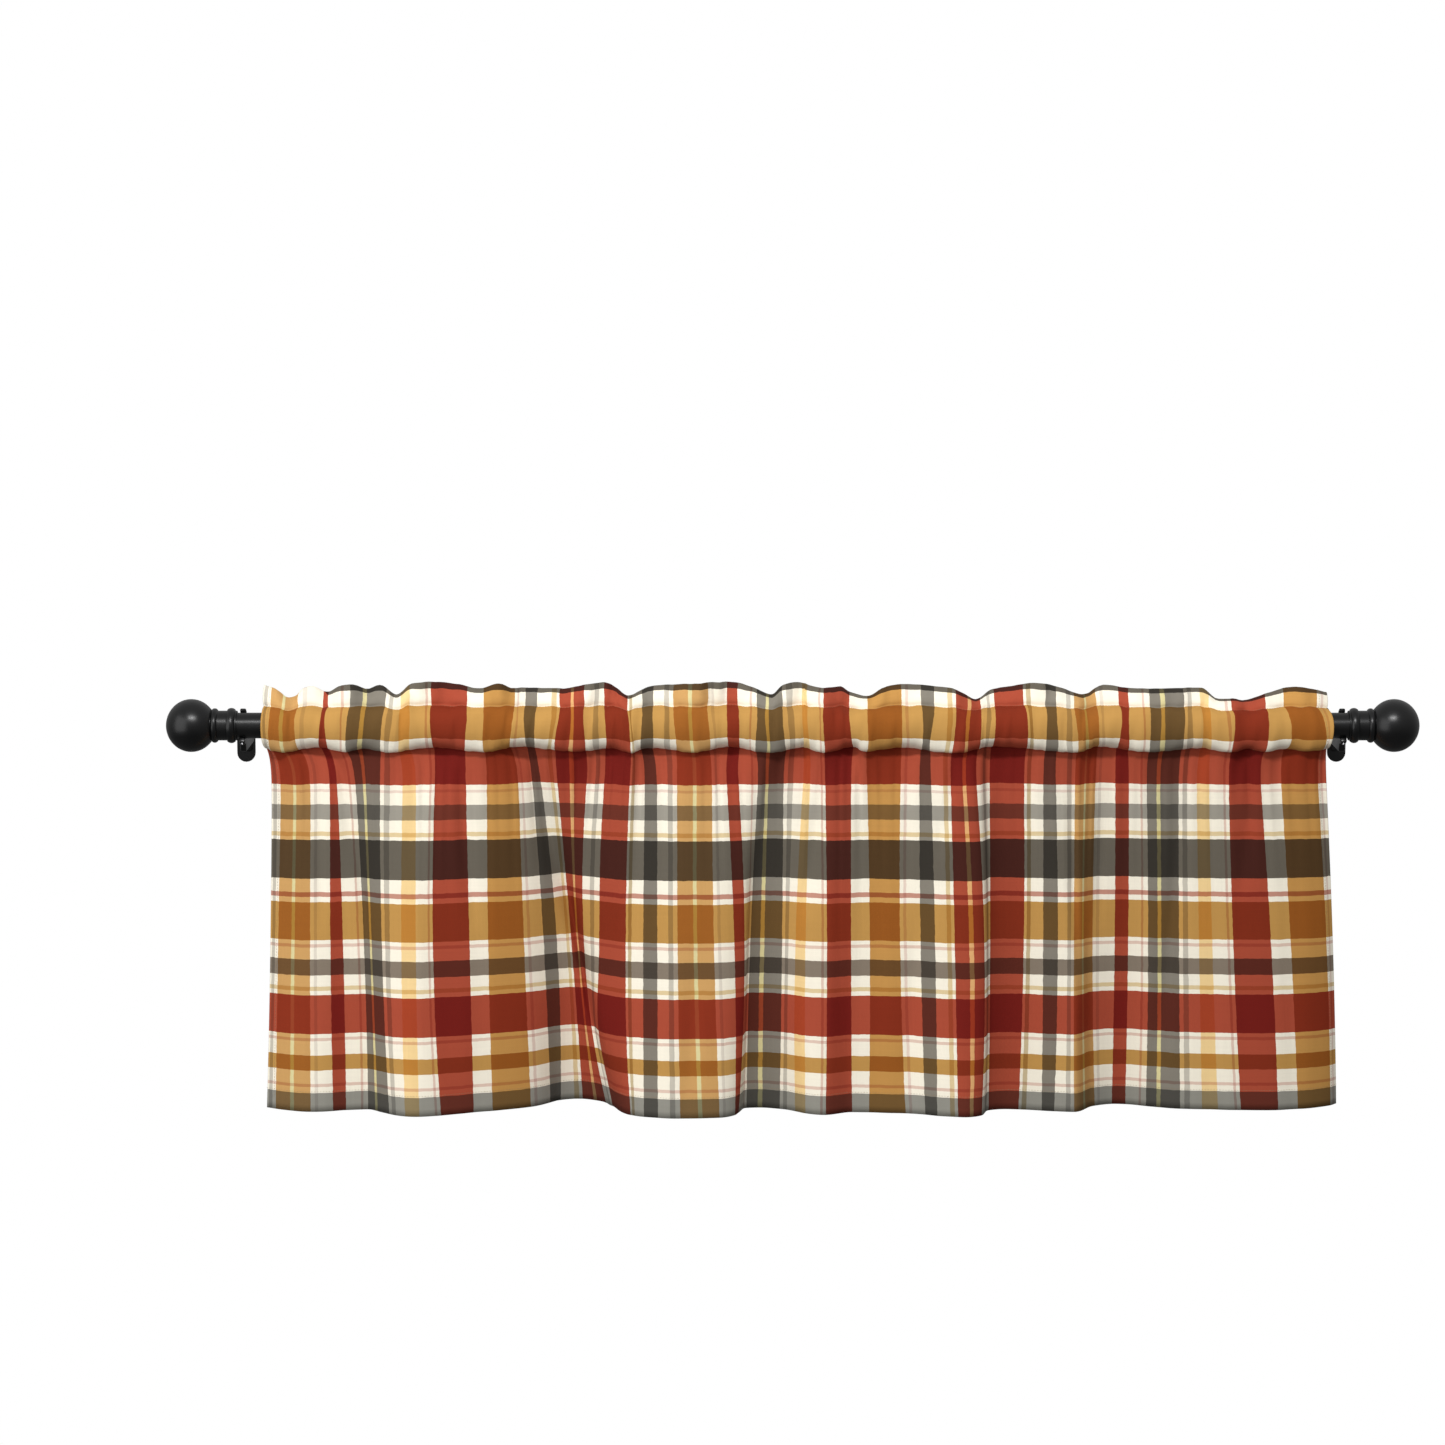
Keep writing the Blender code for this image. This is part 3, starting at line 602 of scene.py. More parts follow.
def pocket_row(flat, turn, towards_room):
    """One row of the pocket before or behind the rod: turn is 0 at the header and 1 at its seam."""
    forward = SEAM_FORWARD(flat)
    top_x, low_x = from_photo(HEADER_X(flat), 0.0, HEADER_SEAM_Z), fold(flat, 0.0)[0]
    x = top_x + (low_x - top_x) * (1.0 - math.cos(math.pi * turn)) / 2.0
    x = x + 2.0 * math.sin(math.pi * turn) * pucker(flat, 34.0, 5.0 + towards_room)
    x = x + 1.3 * math.sin(math.tau * turn) * pucker(flat, 23.0, 9.0)
    x = x + end_reach(flat) * math.sin(math.pi * turn)
    high, low = crease_z(flat), seam_z(flat)
    middle, half = (high + low) / 2.0, (high - low) / 2.0
    depth = POCKET_HALF_DEPTH + POCKET_BULGE * np.maximum(0.0, towards_room * forward / 10.0)
    depth = depth + 1.1 * (1.0 + pucker(flat + 9.0 * turn, 21.0, 4.0 + towards_room))
    line = forward * math.cos(math.pi * turn) ** 4
    around = towards_room * depth * math.sin(math.pi * turn) ** 0.8
    return np.stack([x, line + around, middle + half * math.cos(math.pi * turn)], axis=1)


def header_row(flat, rise):
    """One row of the header's middle: rise is 0 at its seam and 1 at its folded edge."""
    forward = SEAM_FORWARD(flat)
    x = from_photo(HEADER_X(flat), 0.0, 30.0) + end_reach(flat) * 0.3 * rise
    seam = crease_z(flat)
    up = HEADER_TOP(x) - seam
    lean = np.sqrt(np.maximum(HEADER_LENGTH**2 - up**2, 0.0)) * 0.8
    bend = np.sin(math.pi * rise) * 1.6 * pucker(flat, 26.0, 8.0)
    lip = HEADER_LIP * math.exp(-(((rise - 0.24) / 0.16) ** 2)) * (0.7 + 0.5 * pucker(flat, 37.0, 11.0))
    lip = lip * np.clip((up - 8.0) / 14.0, 0.0, 1.0)
    ruffle = 1.7 * rise * pucker(flat, 19.0, 6.0) + bend + lip
    return np.stack([x, forward - lean * rise**1.5 + ruffle, seam + up * rise], axis=1)


def header_turn(flat):
    """How far down the flat cloth the header's folded edge lies, as a share of the header's length."""
    return 1.0 + HEADER_SHIFT / HEADER_LENGTH * fade(flat - HEADER_SHIFT_END + 20.0, 20.0)


def corner_layers(flat):
    """1 over the side hems, fading to 0 beside them."""
    distance = np.minimum(flat, FLAT_WIDTH - flat)
    return fade(np.maximum(distance - SIDE_HEM, 0.0), 10.0)


def half_gap(flat):
    """Half the distance between two stitched layers of cloth, wider where side hems lie between."""
    return LAYER_GAP * (0.5 + corner_layers(flat))


def stitched_share(turn):
    """1 at the pocket's two stitched lines, fading to 0 away from them."""
    return max(fade(turn, 0.2), fade(1.0 - turn, 0.2))


def as_points(rows):
    """(x, forward, z) in millimetres made (X, Y, Z)."""
    return np.stack([rows[:, 0], -ROD_FROM_WALL - rows[:, 1], rows[:, 2]], axis=1)


def printed_side(grid):
    """Each grid point's unit normal on the printed side, which the room sees where the cloth hangs."""
    normal = np.cross(np.gradient(grid, axis=0), np.gradient(grid, axis=1))
    return normal / np.maximum(np.linalg.norm(normal, axis=2, keepdims=True), 1e-9)


def cloth_rows(flat):
    """The cloth's rows from the tucked raw edge down to the hem's raw edge.

    Each is (main points, side hem points, place down the flat cloth), and place 0 is the pocket seam.
    """
    gap = half_gap(flat)[:, None]
    room = np.array([0.0, -1.0, 0.0])
    rows = []

    turns = [i / POCKET_ROWS for i in range(POCKET_ROWS + 1)]
    back = [as_points(pocket_row(flat, turn, -1.0)) for turn in turns]
    back_normal = -printed_side(np.stack(back))
    front = [as_points(pocket_row(flat, turn, 1.0)) for turn in turns]
    front_normal = printed_side(np.stack(front))
    header = [as_points(header_row(flat, rise)) for rise in HEADER_RISES]
    header_normal = -printed_side(np.stack(header))
    fall_steps = [(i / SKIRT_ROWS) ** 1.15 for i in range(SKIRT_ROWS + 1)]
    hanging = [as_points(skirt_row(flat, fall)) for fall in fall_steps]
    hanging_normal = printed_side(np.stack(hanging))

    place = -2.0 * (POCKET_LENGTH + HEADER_LENGTH) - TUCKED_EDGE
    for share in (1.0, 0.45):
        turn = 1.0 - TUCKED_TURN * share
        inside = as_points(pocket_row(flat, turn, -1.0)) + room * TUCKED_GAP
        rows.append((inside, inside + room * 0.4, place + (1.0 - share) * TUCKED_EDGE))
    place += TUCKED_EDGE
    for i in reversed(range(POCKET_ROWS + 1)):
        stitched = stitched_share(turns[i])
        main = back[i] - room * gap * stitched
        inner = main - back_normal[i] * LAYER_GAP
        rows.append((main, inner, place + POCKET_LENGTH * (1.0 - turns[i])))
    place += POCKET_LENGTH
    edge = header_turn(flat)
    for side in (-1.0, 1.0):
        order = range(1, len(HEADER_RISES)) if side < 0.0 else range(len(HEADER_RISES) - 1, 0, -1)
        for i in order:
            rise = HEADER_RISES[i]
            apart = gap + HEADER_PUFF * math.sin(math.pi * rise) ** 0.8
            apart = apart * math.sqrt(1.0 - rise**12)
            main = header[i] + header_normal[i] * apart * side
            inner = header[i] + header_normal[i] * (apart - LAYER_GAP) * side
            down = rise * edge if side < 0.0 else 2.0 - rise * (2.0 - edge)
            rows.append((main, inner, place + HEADER_LENGTH * down))
        if side < 0.0:
            top = as_points(header_row(flat, 1.0))
            rows.append((top, top - np.array([0.0, 0.0, LAYER_GAP]), place + HEADER_LENGTH * edge))
    place += 2.0 * HEADER_LENGTH
    for i in range(POCKET_ROWS + 1):
        stitched = stitched_share(turns[i])
        main = front[i] + room * gap * stitched
        inner = main - front_normal[i] * LAYER_GAP
        rows.append((main, inner, place + POCKET_LENGTH * turns[i]))
    for i in range(1, SKIRT_ROWS + 1):
        down = SKIRT_LENGTH * fall_steps[i]
        near = room * gap * fade(down, 8.0)
        main = hanging[i] + near
        rows.append((main, main - hanging_normal[i] * LAYER_GAP, down))
    behind = -hanging_normal[-1] * LAYER_GAP * (1.0 + 2.0 * corner_layers(flat)[:, None])
    for i in range(HEM_ROWS + 1):
        up = HEM_DEPTH * i / HEM_ROWS
        points = as_points(skirt_row(flat, 1.0 - up / SKIRT_LENGTH))
        main = points + behind
        rows.append((main, main + hanging_normal[-1] * LAYER_GAP, SKIRT_LENGTH + up))
    return rows


def flat_columns():
    """Places along the flat cloth, close together at the side hems and in the deepest fold."""
    trial = np.linspace(SIDE_HEM_STEPS[-1], FLAT_WIDTH - SIDE_HEM_STEPS[-1], 8 * COLUMNS)
    counted = np.cumsum(1.0 + FINE_GAIN * np.exp(-(((trial - FINE_MIDDLE) / FINE_REACH) ** 4)))
    inner = np.interp(np.linspace(counted[0], counted[-1], COLUMNS), counted, trial)
    steps = np.array(SIDE_HEM_STEPS[:-1])
    return np.concatenate([steps, inner, (FLAT_WIDTH - steps)[::-1]])


def grid_of_cloth():
    """The cloth's middle surface as a grid of points, and each point's place on the flat cloth."""
    flat = flat_columns()
    turned = len(SIDE_HEM_STEPS)
    points, places = [], []
    for main, inner, down in cloth_rows(flat):
        left, right = inner[:turned][::-1], inner[-turned:][::-1]
        bulge = np.array([0.4, 0.0, 0.0])
        left_edge = ((main[0] + inner[0]) / 2.0 - bulge)[None]
        right_edge = ((main[-1] + inner[-1]) / 2.0 + bulge)[None]
        points.append(np.concatenate([left, left_edge, main, right_edge, right]))
        along = [-flat[:turned][::-1], [-0.3], flat, [FLAT_WIDTH + 0.3]]
        along.append(2.0 * FLAT_WIDTH - flat[-turned:][::-1])
        down = np.full_like(flat, down) if np.isscalar(down) else down
        ends = [down[:turned][::-1], down[:1], down, down[-1:], down[-turned:][::-1]]
        places.append(np.stack([np.concatenate(along), np.concatenate(ends)], axis=1))
    return np.stack(points), np.stack(places)


def shell_of_cloth(grid):
    """The grid's two faces: the printed one and the reverse."""
    half = printed_side(grid) * (CLOTH_THICKNESS / 2.0)
    return grid + half, grid - half


def grid_faces(rows, columns, start, turned_over):
    """Corner numbers of a grid's faces, whose first corner stays first so that both sides split alike."""
    i, j = np.meshgrid(np.arange(rows - 1), np.arange(columns - 1), indexing="ij")
    a = (start + i * columns + j).ravel()
    corners = [a, a + columns, a + columns + 1, a + 1]
    if turned_over:
        corners = corners[:1] + corners[:0:-1]
    return np.stack(corners, axis=1)


def rim_faces(rows, columns):
    """The narrow faces that join the printed side to the reverse all round."""
    back = rows * columns
    loop = list(range(columns))
    loop += [i * columns + columns - 1 for i in range(1, rows)]
    loop += [(rows - 1) * columns + j for j in range(columns - 2, -1, -1)]
    loop += [i * columns for i in range(rows - 2, 0, -1)]
    here = np.array(loop)
    after = np.roll(here, -1)
    return np.stack([here, after, after + back, here + back], axis=1)


def between_lines(values, at):
    """The line of a rising list of values that a place follows, and how far on towards the next it is."""
    i = int(np.clip(np.searchsorted(values, at) - 1, 0, len(values) - 2))
    return i, (at - values[i]) / (values[i + 1] - values[i])


def stitched_lines(grid, places):
    """Each stitched line as (points, normals) on the printed side of the cloth."""
    normal = printed_side(grid)
    surface = grid + normal * (CLOTH_THICKNESS / 2.0 + THREAD_WIDTH * 0.2)
    middle = places.shape[1] // 2
    turned = len(SIDE_HEM_STEPS) + 1
    lines = []
    for down in STITCHED_ACROSS:
        i, share = between_lines(places[:, middle, 1], down)
        points = surface[i] + (surface[i + 1] - surface[i]) * share
        lines.append((points[turned:-turned], normal[i][turned:-turned]))
    last = between_lines(places[:, middle, 1], SKIRT_LENGTH)[0]
    far = FLAT_WIDTH - STITCHED_SIDE
    for along in (-STITCHED_SIDE, STITCHED_SIDE, far, FLAT_WIDTH + STITCHED_SIDE):
        j, share = between_lines(places[0, :, 0], along)
        points = surface[:, j] + (surface[:, j + 1] - surface[:, j]) * share
        lines.append((points[3:last], normal[3:last, j]))
    return lines


def stitch_tree(thread):
    """Stitches along a mesh's edges, lying on the cloth by the edges' own normals."""
    tree = bpy.data.node_groups.new("stitches", "GeometryNodeTree")
    tree.interface.new_socket("Lines", in_out="INPUT", socket_type="NodeSocketGeometry")
    for title in ("Pitch", "Length", "Width"):
        tree.interface.new_socket(title, in_out="INPUT", socket_type="NodeSocketFloat")
    tree.interface.new_socket("Stitches", in_out="OUTPUT", socket_type="NodeSocketGeometry")
    nodes = Nodes(tree)
    given = nodes.add("NodeGroupInput").outputs
    curve = nodes.add("GeometryNodeMeshToCurve")
    nodes.link(given["Lines"], curve.inputs[0])
    spaced = nodes.add("GeometryNodeResampleCurve", mode="LENGTH")
    nodes.link(curve.outputs[0], spaced.inputs["Curve"])
    nodes.link(given["Pitch"], spaced.inputs["Length"])

    bead = nodes.add("GeometryNodeMeshUVSphere")
    bead.inputs["Segments"].default_value = 8
    bead.inputs["Rings"].default_value = 4
    bead.inputs["Radius"].default_value = 0.5
    size = nodes.add("ShaderNodeCombineXYZ")
    nodes.link(given["Length"], size.inputs[0])
    nodes.link(given["Width"], size.inputs[1])
    nodes.link(given["Width"], size.inputs[2])
    stitch = nodes.add("GeometryNodeTransform")
    nodes.link(bead.outputs["Mesh"], stitch.inputs["Geometry"])
    nodes.link(size.outputs[0], stitch.inputs["Scale"])

    along = nodes.add("FunctionNodeAlignRotationToVector", axis="X")
    nodes.link(nodes.add("GeometryNodeInputTangent").outputs[0], along.inputs["Vector"])
    facing_cloth = nodes.add("GeometryNodeInputNamedAttribute", data_type="FLOAT_VECTOR")
    facing_cloth.inputs["Name"].default_value = "facing"
    laid = nodes.add("FunctionNodeAlignRotationToVector", axis="Z", pivot_axis="X")
    nodes.link(along.outputs[0], laid.inputs["Rotation"])
    nodes.link(facing_cloth.outputs[0], laid.inputs["Vector"])
    uneven = nodes.add("FunctionNodeRandomValue", data_type="FLOAT")
    floats = [socket for socket in uneven.inputs if socket.type == "VALUE"]
    floats[0].default_value, floats[1].default_value = 0.86, 1.1
    uneven.inputs["Seed"].default_value = 7

    placed = nodes.add("GeometryNodeInstanceOnPoints")
    nodes.link(spaced.outputs[0], placed.inputs["Points"])
    nodes.link(stitch.outputs[0], placed.inputs["Instance"])
    nodes.link(laid.outputs[0], placed.inputs["Rotation"])
    nodes.link(next(socket for socket in uneven.outputs if socket.type == "VALUE"), placed.inputs["Scale"])
    real = nodes.add("GeometryNodeRealizeInstances")
    nodes.link(placed.outputs[0], real.inputs[0])
    dyed = nodes.add("GeometryNodeSetMaterial")
    dyed.inputs["Material"].default_value = thread
    nodes.link(real.outputs[0], dyed.inputs["Geometry"])
    nodes.link(dyed.outputs[0], nodes.add("NodeGroupOutput").inputs[0])
    return tree


def make_stitches(grid, places, thread):
    points, normals, edges = [], [], []
    for line, facing_out in stitched_lines(grid, places):
        start = len(points)
        points += (line * MM).tolist()
        normals += facing_out.tolist()
        edges += [(i, i + 1) for i in range(start, len(points) - 1)]
    mesh = bpy.data.meshes.new("seam_lines")
    mesh.from_pydata(points, edges, [])
    mesh.attributes.new("facing", "FLOAT_VECTOR", "POINT").data.foreach_set("vector", np.ravel(normals))
    stitches = add_object("stitches", mesh)
    tree = stitch_tree(thread)
    modifier = stitches.modifiers.new("stitches", "NODES")
    modifier.node_group = tree
    sizes = {"Pitch": STITCH_PITCH, "Length": STITCH_LENGTH, "Width": THREAD_WIDTH}
    for socket in tree.interface.items_tree:
        if socket.name in sizes:
            modifier[socket.identifier] = sizes[socket.name] * MM
    bpy.context.view_layer.update()
    made = bpy.data.meshes.new_from_object(stitches.evaluated_get(bpy.context.evaluated_depsgraph_get()))
    stitches.modifiers.remove(modifier)
    stitches.data = made
    made.polygons.foreach_set("use_smooth", np.ones(len(made.polygons), bool))
    return stitches


def make_cloth(grid, places, printed, reverse):
    rows, columns = grid.shape[:2]
    front, back = shell_of_cloth(grid)
    points = np.concatenate([front.reshape(-1, 3), back.reshape(-1, 3)]) * MM
    faces = np.concatenate(
        [
            grid_faces(rows, columns, 0, False),
            rim_faces(rows, columns),
            grid_faces(rows, columns, rows * columns, True),
        ]
    )
    mesh = bpy.data.meshes.new("cloth")
    mesh.from_pydata(points.tolist(), [], faces.tolist())
    flat = np.concatenate([places.reshape(-1, 2)] * 2) * MM
    corners = np.empty(len(mesh.loops), np.int32)
    mesh.loops.foreach_get("vertex_index", corners)
    mesh.uv_layers.new(name="cloth").data.foreach_set("uv", flat[corners].ravel())
    mesh.materials.append(printed)
    mesh.materials.append(reverse)
    front_faces = (rows - 1) * (columns - 1)
    which = np.zeros(len(mesh.polygons), np.int32)
    which[-front_faces:] = 1
    mesh.polygons.foreach_set("material_index", which)
    mesh.polygons.foreach_set("use_smooth", np.ones(len(mesh.polygons), bool))
    mesh.validate()
    mesh.update()
    return add_object("hung_cloth", mesh)


def linear(colour):
    """A screen colour, from 0 to 255, as the light values that a shader takes."""
    share = [c / 255.0 for c in colour]
    return [c / 12.92 if c <= 0.04045 else ((c + 0.055) / 1.055) ** 2.4 for c in share]


class Nodes:
    """A short way to build one node tree."""

    def __init__(self, tree):
        self.tree = tree

    def add(self, kind, **settings):
        node = self.tree.nodes.new(kind)
        for name, value in settings.items():
            setattr(node, name, value)
        return node

    def link(self, start, end):
        self.tree.links.new(start, end)

    def feed(self, socket, value):
        """Sets a socket to a value, or links it to another node's output."""
        if isinstance(value, bpy.types.NodeSocket):
            self.link(value, socket)
        else:
            socket.default_value = value

    def math(self, operation, *values, clamp=False):
        node = self.add("ShaderNodeMath", operation=operation, use_clamp=clamp)
        for socket, value in zip(node.inputs, values):
            self.feed(socket, value)
        return node.outputs[0]

    def noise(self, vector, scale, detail=2.0, roughness=0.5, dimensions="3D"):
        node = self.add("ShaderNodeTexNoise", noise_dimensions=dimensions)
        self.feed(node.inputs["Vector"], vector)
        self.feed(node.inputs["Scale"], scale)
        node.inputs["Detail"].default_value = detail
        node.inputs["Roughness"].default_value = roughness
        return node.outputs["Fac"]

    def stretched(self, vector, scale):
        node = self.add("ShaderNodeVectorMath", operation="MULTIPLY")
        self.feed(node.inputs[0], vector)
        node.inputs[1].default_value = scale
        return node.outputs[0]

    def mix(self, share, low, high, blend="MIX"):
        node = self.add("ShaderNodeMix", data_type="RGBA", blend_type=blend)
        self.feed(node.inputs["Factor"], share)
        colours = [socket for socket in node.inputs if socket.type == "RGBA"]
        self.feed(colours[0], low)
        self.feed(colours[1], high)
        return next(socket for socket in node.outputs if socket.type == "RGBA")

    def grey(self, value):
        """A colour with the same value in each of its parts."""
        node = self.add("ShaderNodeCombineColor")
        for socket in node.inputs:
            if socket.type == "VALUE":
                self.link(value, socket)
        return node.outputs[0]

    def between(self, value, low, high, new_low, new_high):
        node = self.add("ShaderNodeMapRange", clamp=True)
        for name, number in zip(
            ("Value", "From Min", "From Max", "To Min", "To Max"), (value, low, high, new_low, new_high)
        ):
            self.feed(node.inputs[name], number)
        return node.outputs[0]


def new_group(name, inputs, outputs):
    """A shader node group with named sockets: (name, kind, value) for inputs, (name, kind) for outputs."""
    tree = bpy.data.node_groups.new(name, "ShaderNodeTree")
    for title, kind, value in inputs:
        socket = tree.interface.new_socket(title, in_out="INPUT", socket_type=kind)
        if value is not None:
            socket.default_value = value
    for title, kind in outputs:
        tree.interface.new_socket(title, in_out="OUTPUT", socket_type=kind)
    nodes = Nodes(tree)
    return nodes, nodes.add("NodeGroupInput").outputs, nodes.add("NodeGroupOutput").inputs


def warp_bands():
    """The upright repeat as (start, width, dye), stripes before the lines over them, and its width."""
    stripes, lines = [], []
    at = 0.0
    for dye, width, line, place, wide, gap, gap_line, gap_place, gap_wide in WARP_STRIPES:
        stripes.append((at, width, dye))
        if line:
            lines.append((at + width * place - wide / 2.0, wide, line))
        at += width
        if gap_line:
            lines.append((at + gap * gap_place - gap_wide / 2.0, gap_wide, gap_line))
        at += gap
    return stripes + lines, at


def weft_bands():
    """The level stripes from the tucked raw edge down, as (start, width, dye), lines last."""
    stripes, lines = [], []
    at = 0.0
    for dye, width, *line in WEFT_STRIPES:
        if dye != "cream":
            stripes.append((at, width, dye))
        if line:
            line_dye, place, wide = line
            lines.append((at + width * place - wide / 2.0, wide, line_dye))
        at += width
    return stripes + lines


def striped(nodes, where, bands):
    """Cream cloth with each band laid over it in turn. The place is in metres."""
    colour = (*linear(DYES["cream"]), 1.0)
    for start, width, dye in bands:
        inside = nodes.math("COMPARE", where, (start + width / 2.0) * MM, width / 2.0 * MM)
        colour = nodes.mix(inside, colour, (*linear(DYES[dye]), 1.0))
    return colour


def plaid_group():
    """The printed plaid: two sets of stripes that show through each other, with hand-drawn edges."""
    inputs = [
        ("Along", "NodeSocketFloat", 0.0),
        ("Down", "NodeSocketFloat", 0.0),
        ("Edge Wander", "NodeSocketFloat", 0.0011),
        ("Streaks", "NodeSocketFloat", 0.10),
    ]
    nodes, given, result = new_group("plaid print", inputs, [("Colour", "NodeSocketColor")])
    joined = nodes.add("ShaderNodeCombineXYZ")
    nodes.link(given["Along"], joined.inputs[0])
    nodes.link(given["Down"], joined.inputs[1])
    place = joined.outputs[0]

    def wandering(value, scale):
        drift = nodes.math("SUBTRACT", nodes.noise(nodes.stretched(place, scale), 1.0, 2.0), 0.5)
        return nodes.math("ADD", value, nodes.math("MULTIPLY", drift, given["Edge Wander"]))

    wide_along = wandering(given["Along"], (16.0, 60.0, 1.0))
    along = wandering(wide_along, (60.0, 140.0, 1.0))
    wide_down = wandering(given["Down"], (52.0, 16.0, 5.0))
    down = wandering(wide_down, (130.0, 60.0, 5.0))

    bands, repeat = warp_bands()
    shifted = nodes.math("SUBTRACT", along, WARP_START * MM)
    upright = striped(nodes, nodes.math("FLOORED_MODULO", shifted, repeat * MM), bands)
    level = striped(nodes, nodes.math("ADD", down, WEFT_ABOVE_SEAM * MM), weft_bands())
    crossed = nodes.mix(1.0, upright, level, blend="MULTIPLY")
    lifted = nodes.mix(0.007, crossed, (1.0, 1.0, 1.0, 1.0))

    long_streak = nodes.noise(nodes.stretched(place, (420.0, 14.0, 1.0)), 1.0, 3.0, 0.6)
    level_streak = nodes.noise(nodes.stretched(place, (14.0, 420.0, 3.0)), 1.0, 3.0, 0.6)
    both = nodes.math("ADD", long_streak, level_streak)
    centred = nodes.math("SUBTRACT", both, 1.0)
    tone = nodes.math("ADD", 1.0, nodes.math("MULTIPLY", centred, given["Streaks"]))
    nodes.link(nodes.mix(1.0, lifted, nodes.grey(tone), blend="MULTIPLY"), result["Colour"])
    return nodes.tree


def weave_group():
    """A plain weave: a height for the bump, and how much light its hollows lose."""
    inputs = [
        ("Along", "NodeSocketFloat", 0.0),
        ("Down", "NodeSocketFloat", 0.0),
        ("Thread Spacing", "NodeSocketFloat", 0.0011),
    ]
    outputs = [("Height", "NodeSocketFloat"), ("Shade", "NodeSocketFloat")]
    nodes, given, result = new_group("plain weave", inputs, outputs)
    waves = []
    for name in ("Along", "Down"):
        turns = nodes.math("DIVIDE", given[name], given["Thread Spacing"])
        waves.append(nodes.math("SINE", nodes.math("MULTIPLY", turns, math.pi)))
    crossing = nodes.math("MULTIPLY", waves[0], waves[1])
    ridges = nodes.math("ADD", nodes.math("ABSOLUTE", waves[0]), nodes.math("ABSOLUTE", waves[1]))
    height = nodes.math("ADD", nodes.math("MULTIPLY", ridges, 0.5), nodes.math("MULTIPLY", crossing, 0.4))
    joined = nodes.add("ShaderNodeCombineXYZ")
    nodes.link(given["Along"], joined.inputs[0])
    nodes.link(given["Down"], joined.inputs[1])
    slub = nodes.noise(nodes.stretched(joined.outputs[0], (900.0, 60.0, 1.0)), 1.0, 2.0)
    cross_slub = nodes.noise(nodes.stretched(joined.outputs[0], (60.0, 900.0, 7.0)), 1.0, 2.0)
    thick = nodes.math("ADD", slub, cross_slub)
    nodes.link(nodes.math("ADD", height, nodes.math("MULTIPLY", thick, 0.8)), result["Height"])
    nodes.link(nodes.between(height, 0.0, 1.0, 0.955, 1.02), result["Shade"])
    return nodes.tree


def new_material(name):
    made = bpy.data.materials.new(name)
    made.use_nodes = True
    nodes = Nodes(made.node_tree)
    return made, nodes, made.node_tree.nodes["Principled BSDF"]


def place_group(nodes, tree, **values):
    node = nodes.add("ShaderNodeGroup", node_tree=tree)
    for name, value in values.items():
        nodes.feed(node.inputs[name.replace("_", " ")], value)
    return node.outputs


def cloth_material(name, print_tree, weave_tree, bleach, brightness):
    """Printed cotton. Bleach is how far the print is lost, as on the cloth's reverse."""
    made, nodes, shader = new_material(name)
    uv = nodes.add("ShaderNodeUVMap", uv_map="cloth")
    split = nodes.add("ShaderNodeSeparateXYZ")
    nodes.link(uv.outputs[0], split.inputs[0])
    along, down = split.outputs[0], split.outputs[1]
    plaid = place_group(nodes, print_tree, Along=along, Down=down)["Colour"]
    weave = place_group(nodes, weave_tree, Along=along, Down=down)
    faded = nodes.mix(bleach, plaid, UNPRINTED)
    shade = nodes.grey(nodes.math("MULTIPLY", weave["Shade"], brightness))
    nodes.link(nodes.mix(1.0, faded, shade, blend="MULTIPLY"), shader.inputs["Base Color"])
    bump = nodes.add("ShaderNodeBump")
    bump.inputs["Strength"].default_value = 0.35
    bump.inputs["Distance"].default_value = 0.00025
    nodes.link(weave["Height"], bump.inputs["Height"])
    nodes.link(bump.outputs[0], shader.inputs["Normal"])
    rough = nodes.between(weave["Height"], 0.3, 1.6, 0.95, 0.82)
    nodes.link(rough, shader.inputs["Roughness"])
    shader.inputs["Specular IOR Level"].default_value = 0.1
    return made


def thread_material(name, colour):
    """Twisted cotton thread."""
    made, nodes, shader = new_material(name)
    place = nodes.add("ShaderNodeTexCoord").outputs["Object"]
    twist = nodes.noise(nodes.stretched(place, (2400.0, 2400.0, 900.0)), 1.0, 2.0)
    dark = (*[c * 0.8 for c in linear(colour)], 1.0)
    pale = (*[c * 1.15 for c in linear(colour)], 1.0)
    nodes.link(nodes.mix(twist, dark, pale), shader.inputs["Base Color"])
    nodes.link(nodes.between(twist, 0.3, 0.7, 0.75, 0.9), shader.inputs["Roughness"])
    shader.inputs["Specular IOR Level"].default_value = 0.2
    return made


def enamel_material(name, colour, roughness):
    """Satin black enamel with a faint orange peel and a slightly uneven tone."""
    made, nodes, shader = new_material(name)
    place = nodes.add("ShaderNodeTexCoord").outputs["Object"]
    cloud = nodes.noise(place, 38.0, 3.0)
    fine = nodes.noise(place, 900.0, 2.0)
    dark = (*[c * 0.8 for c in colour], 1.0)
    pale = (*[c * 1.4 + 0.001 for c in colour], 1.0)
    tone = nodes.between(cloud, 0.35, 0.7, 0.0, 1.0)
    nodes.link(nodes.mix(tone, dark, pale), shader.inputs["Base Color"])
    rough = nodes.between(fine, 0.3, 0.7, roughness - 0.03, roughness + 0.04)
    nodes.link(rough, shader.inputs["Roughness"])
    bump = nodes.add("ShaderNodeBump")
    bump.inputs["Strength"].default_value = 0.05
    bump.inputs["Distance"].default_value = 0.0002
    nodes.link(fine, bump.inputs["Height"])
    nodes.link(bump.outputs[0], shader.inputs["Normal"])
    shader.inputs["Specular IOR Level"].default_value = 0.4
    return made


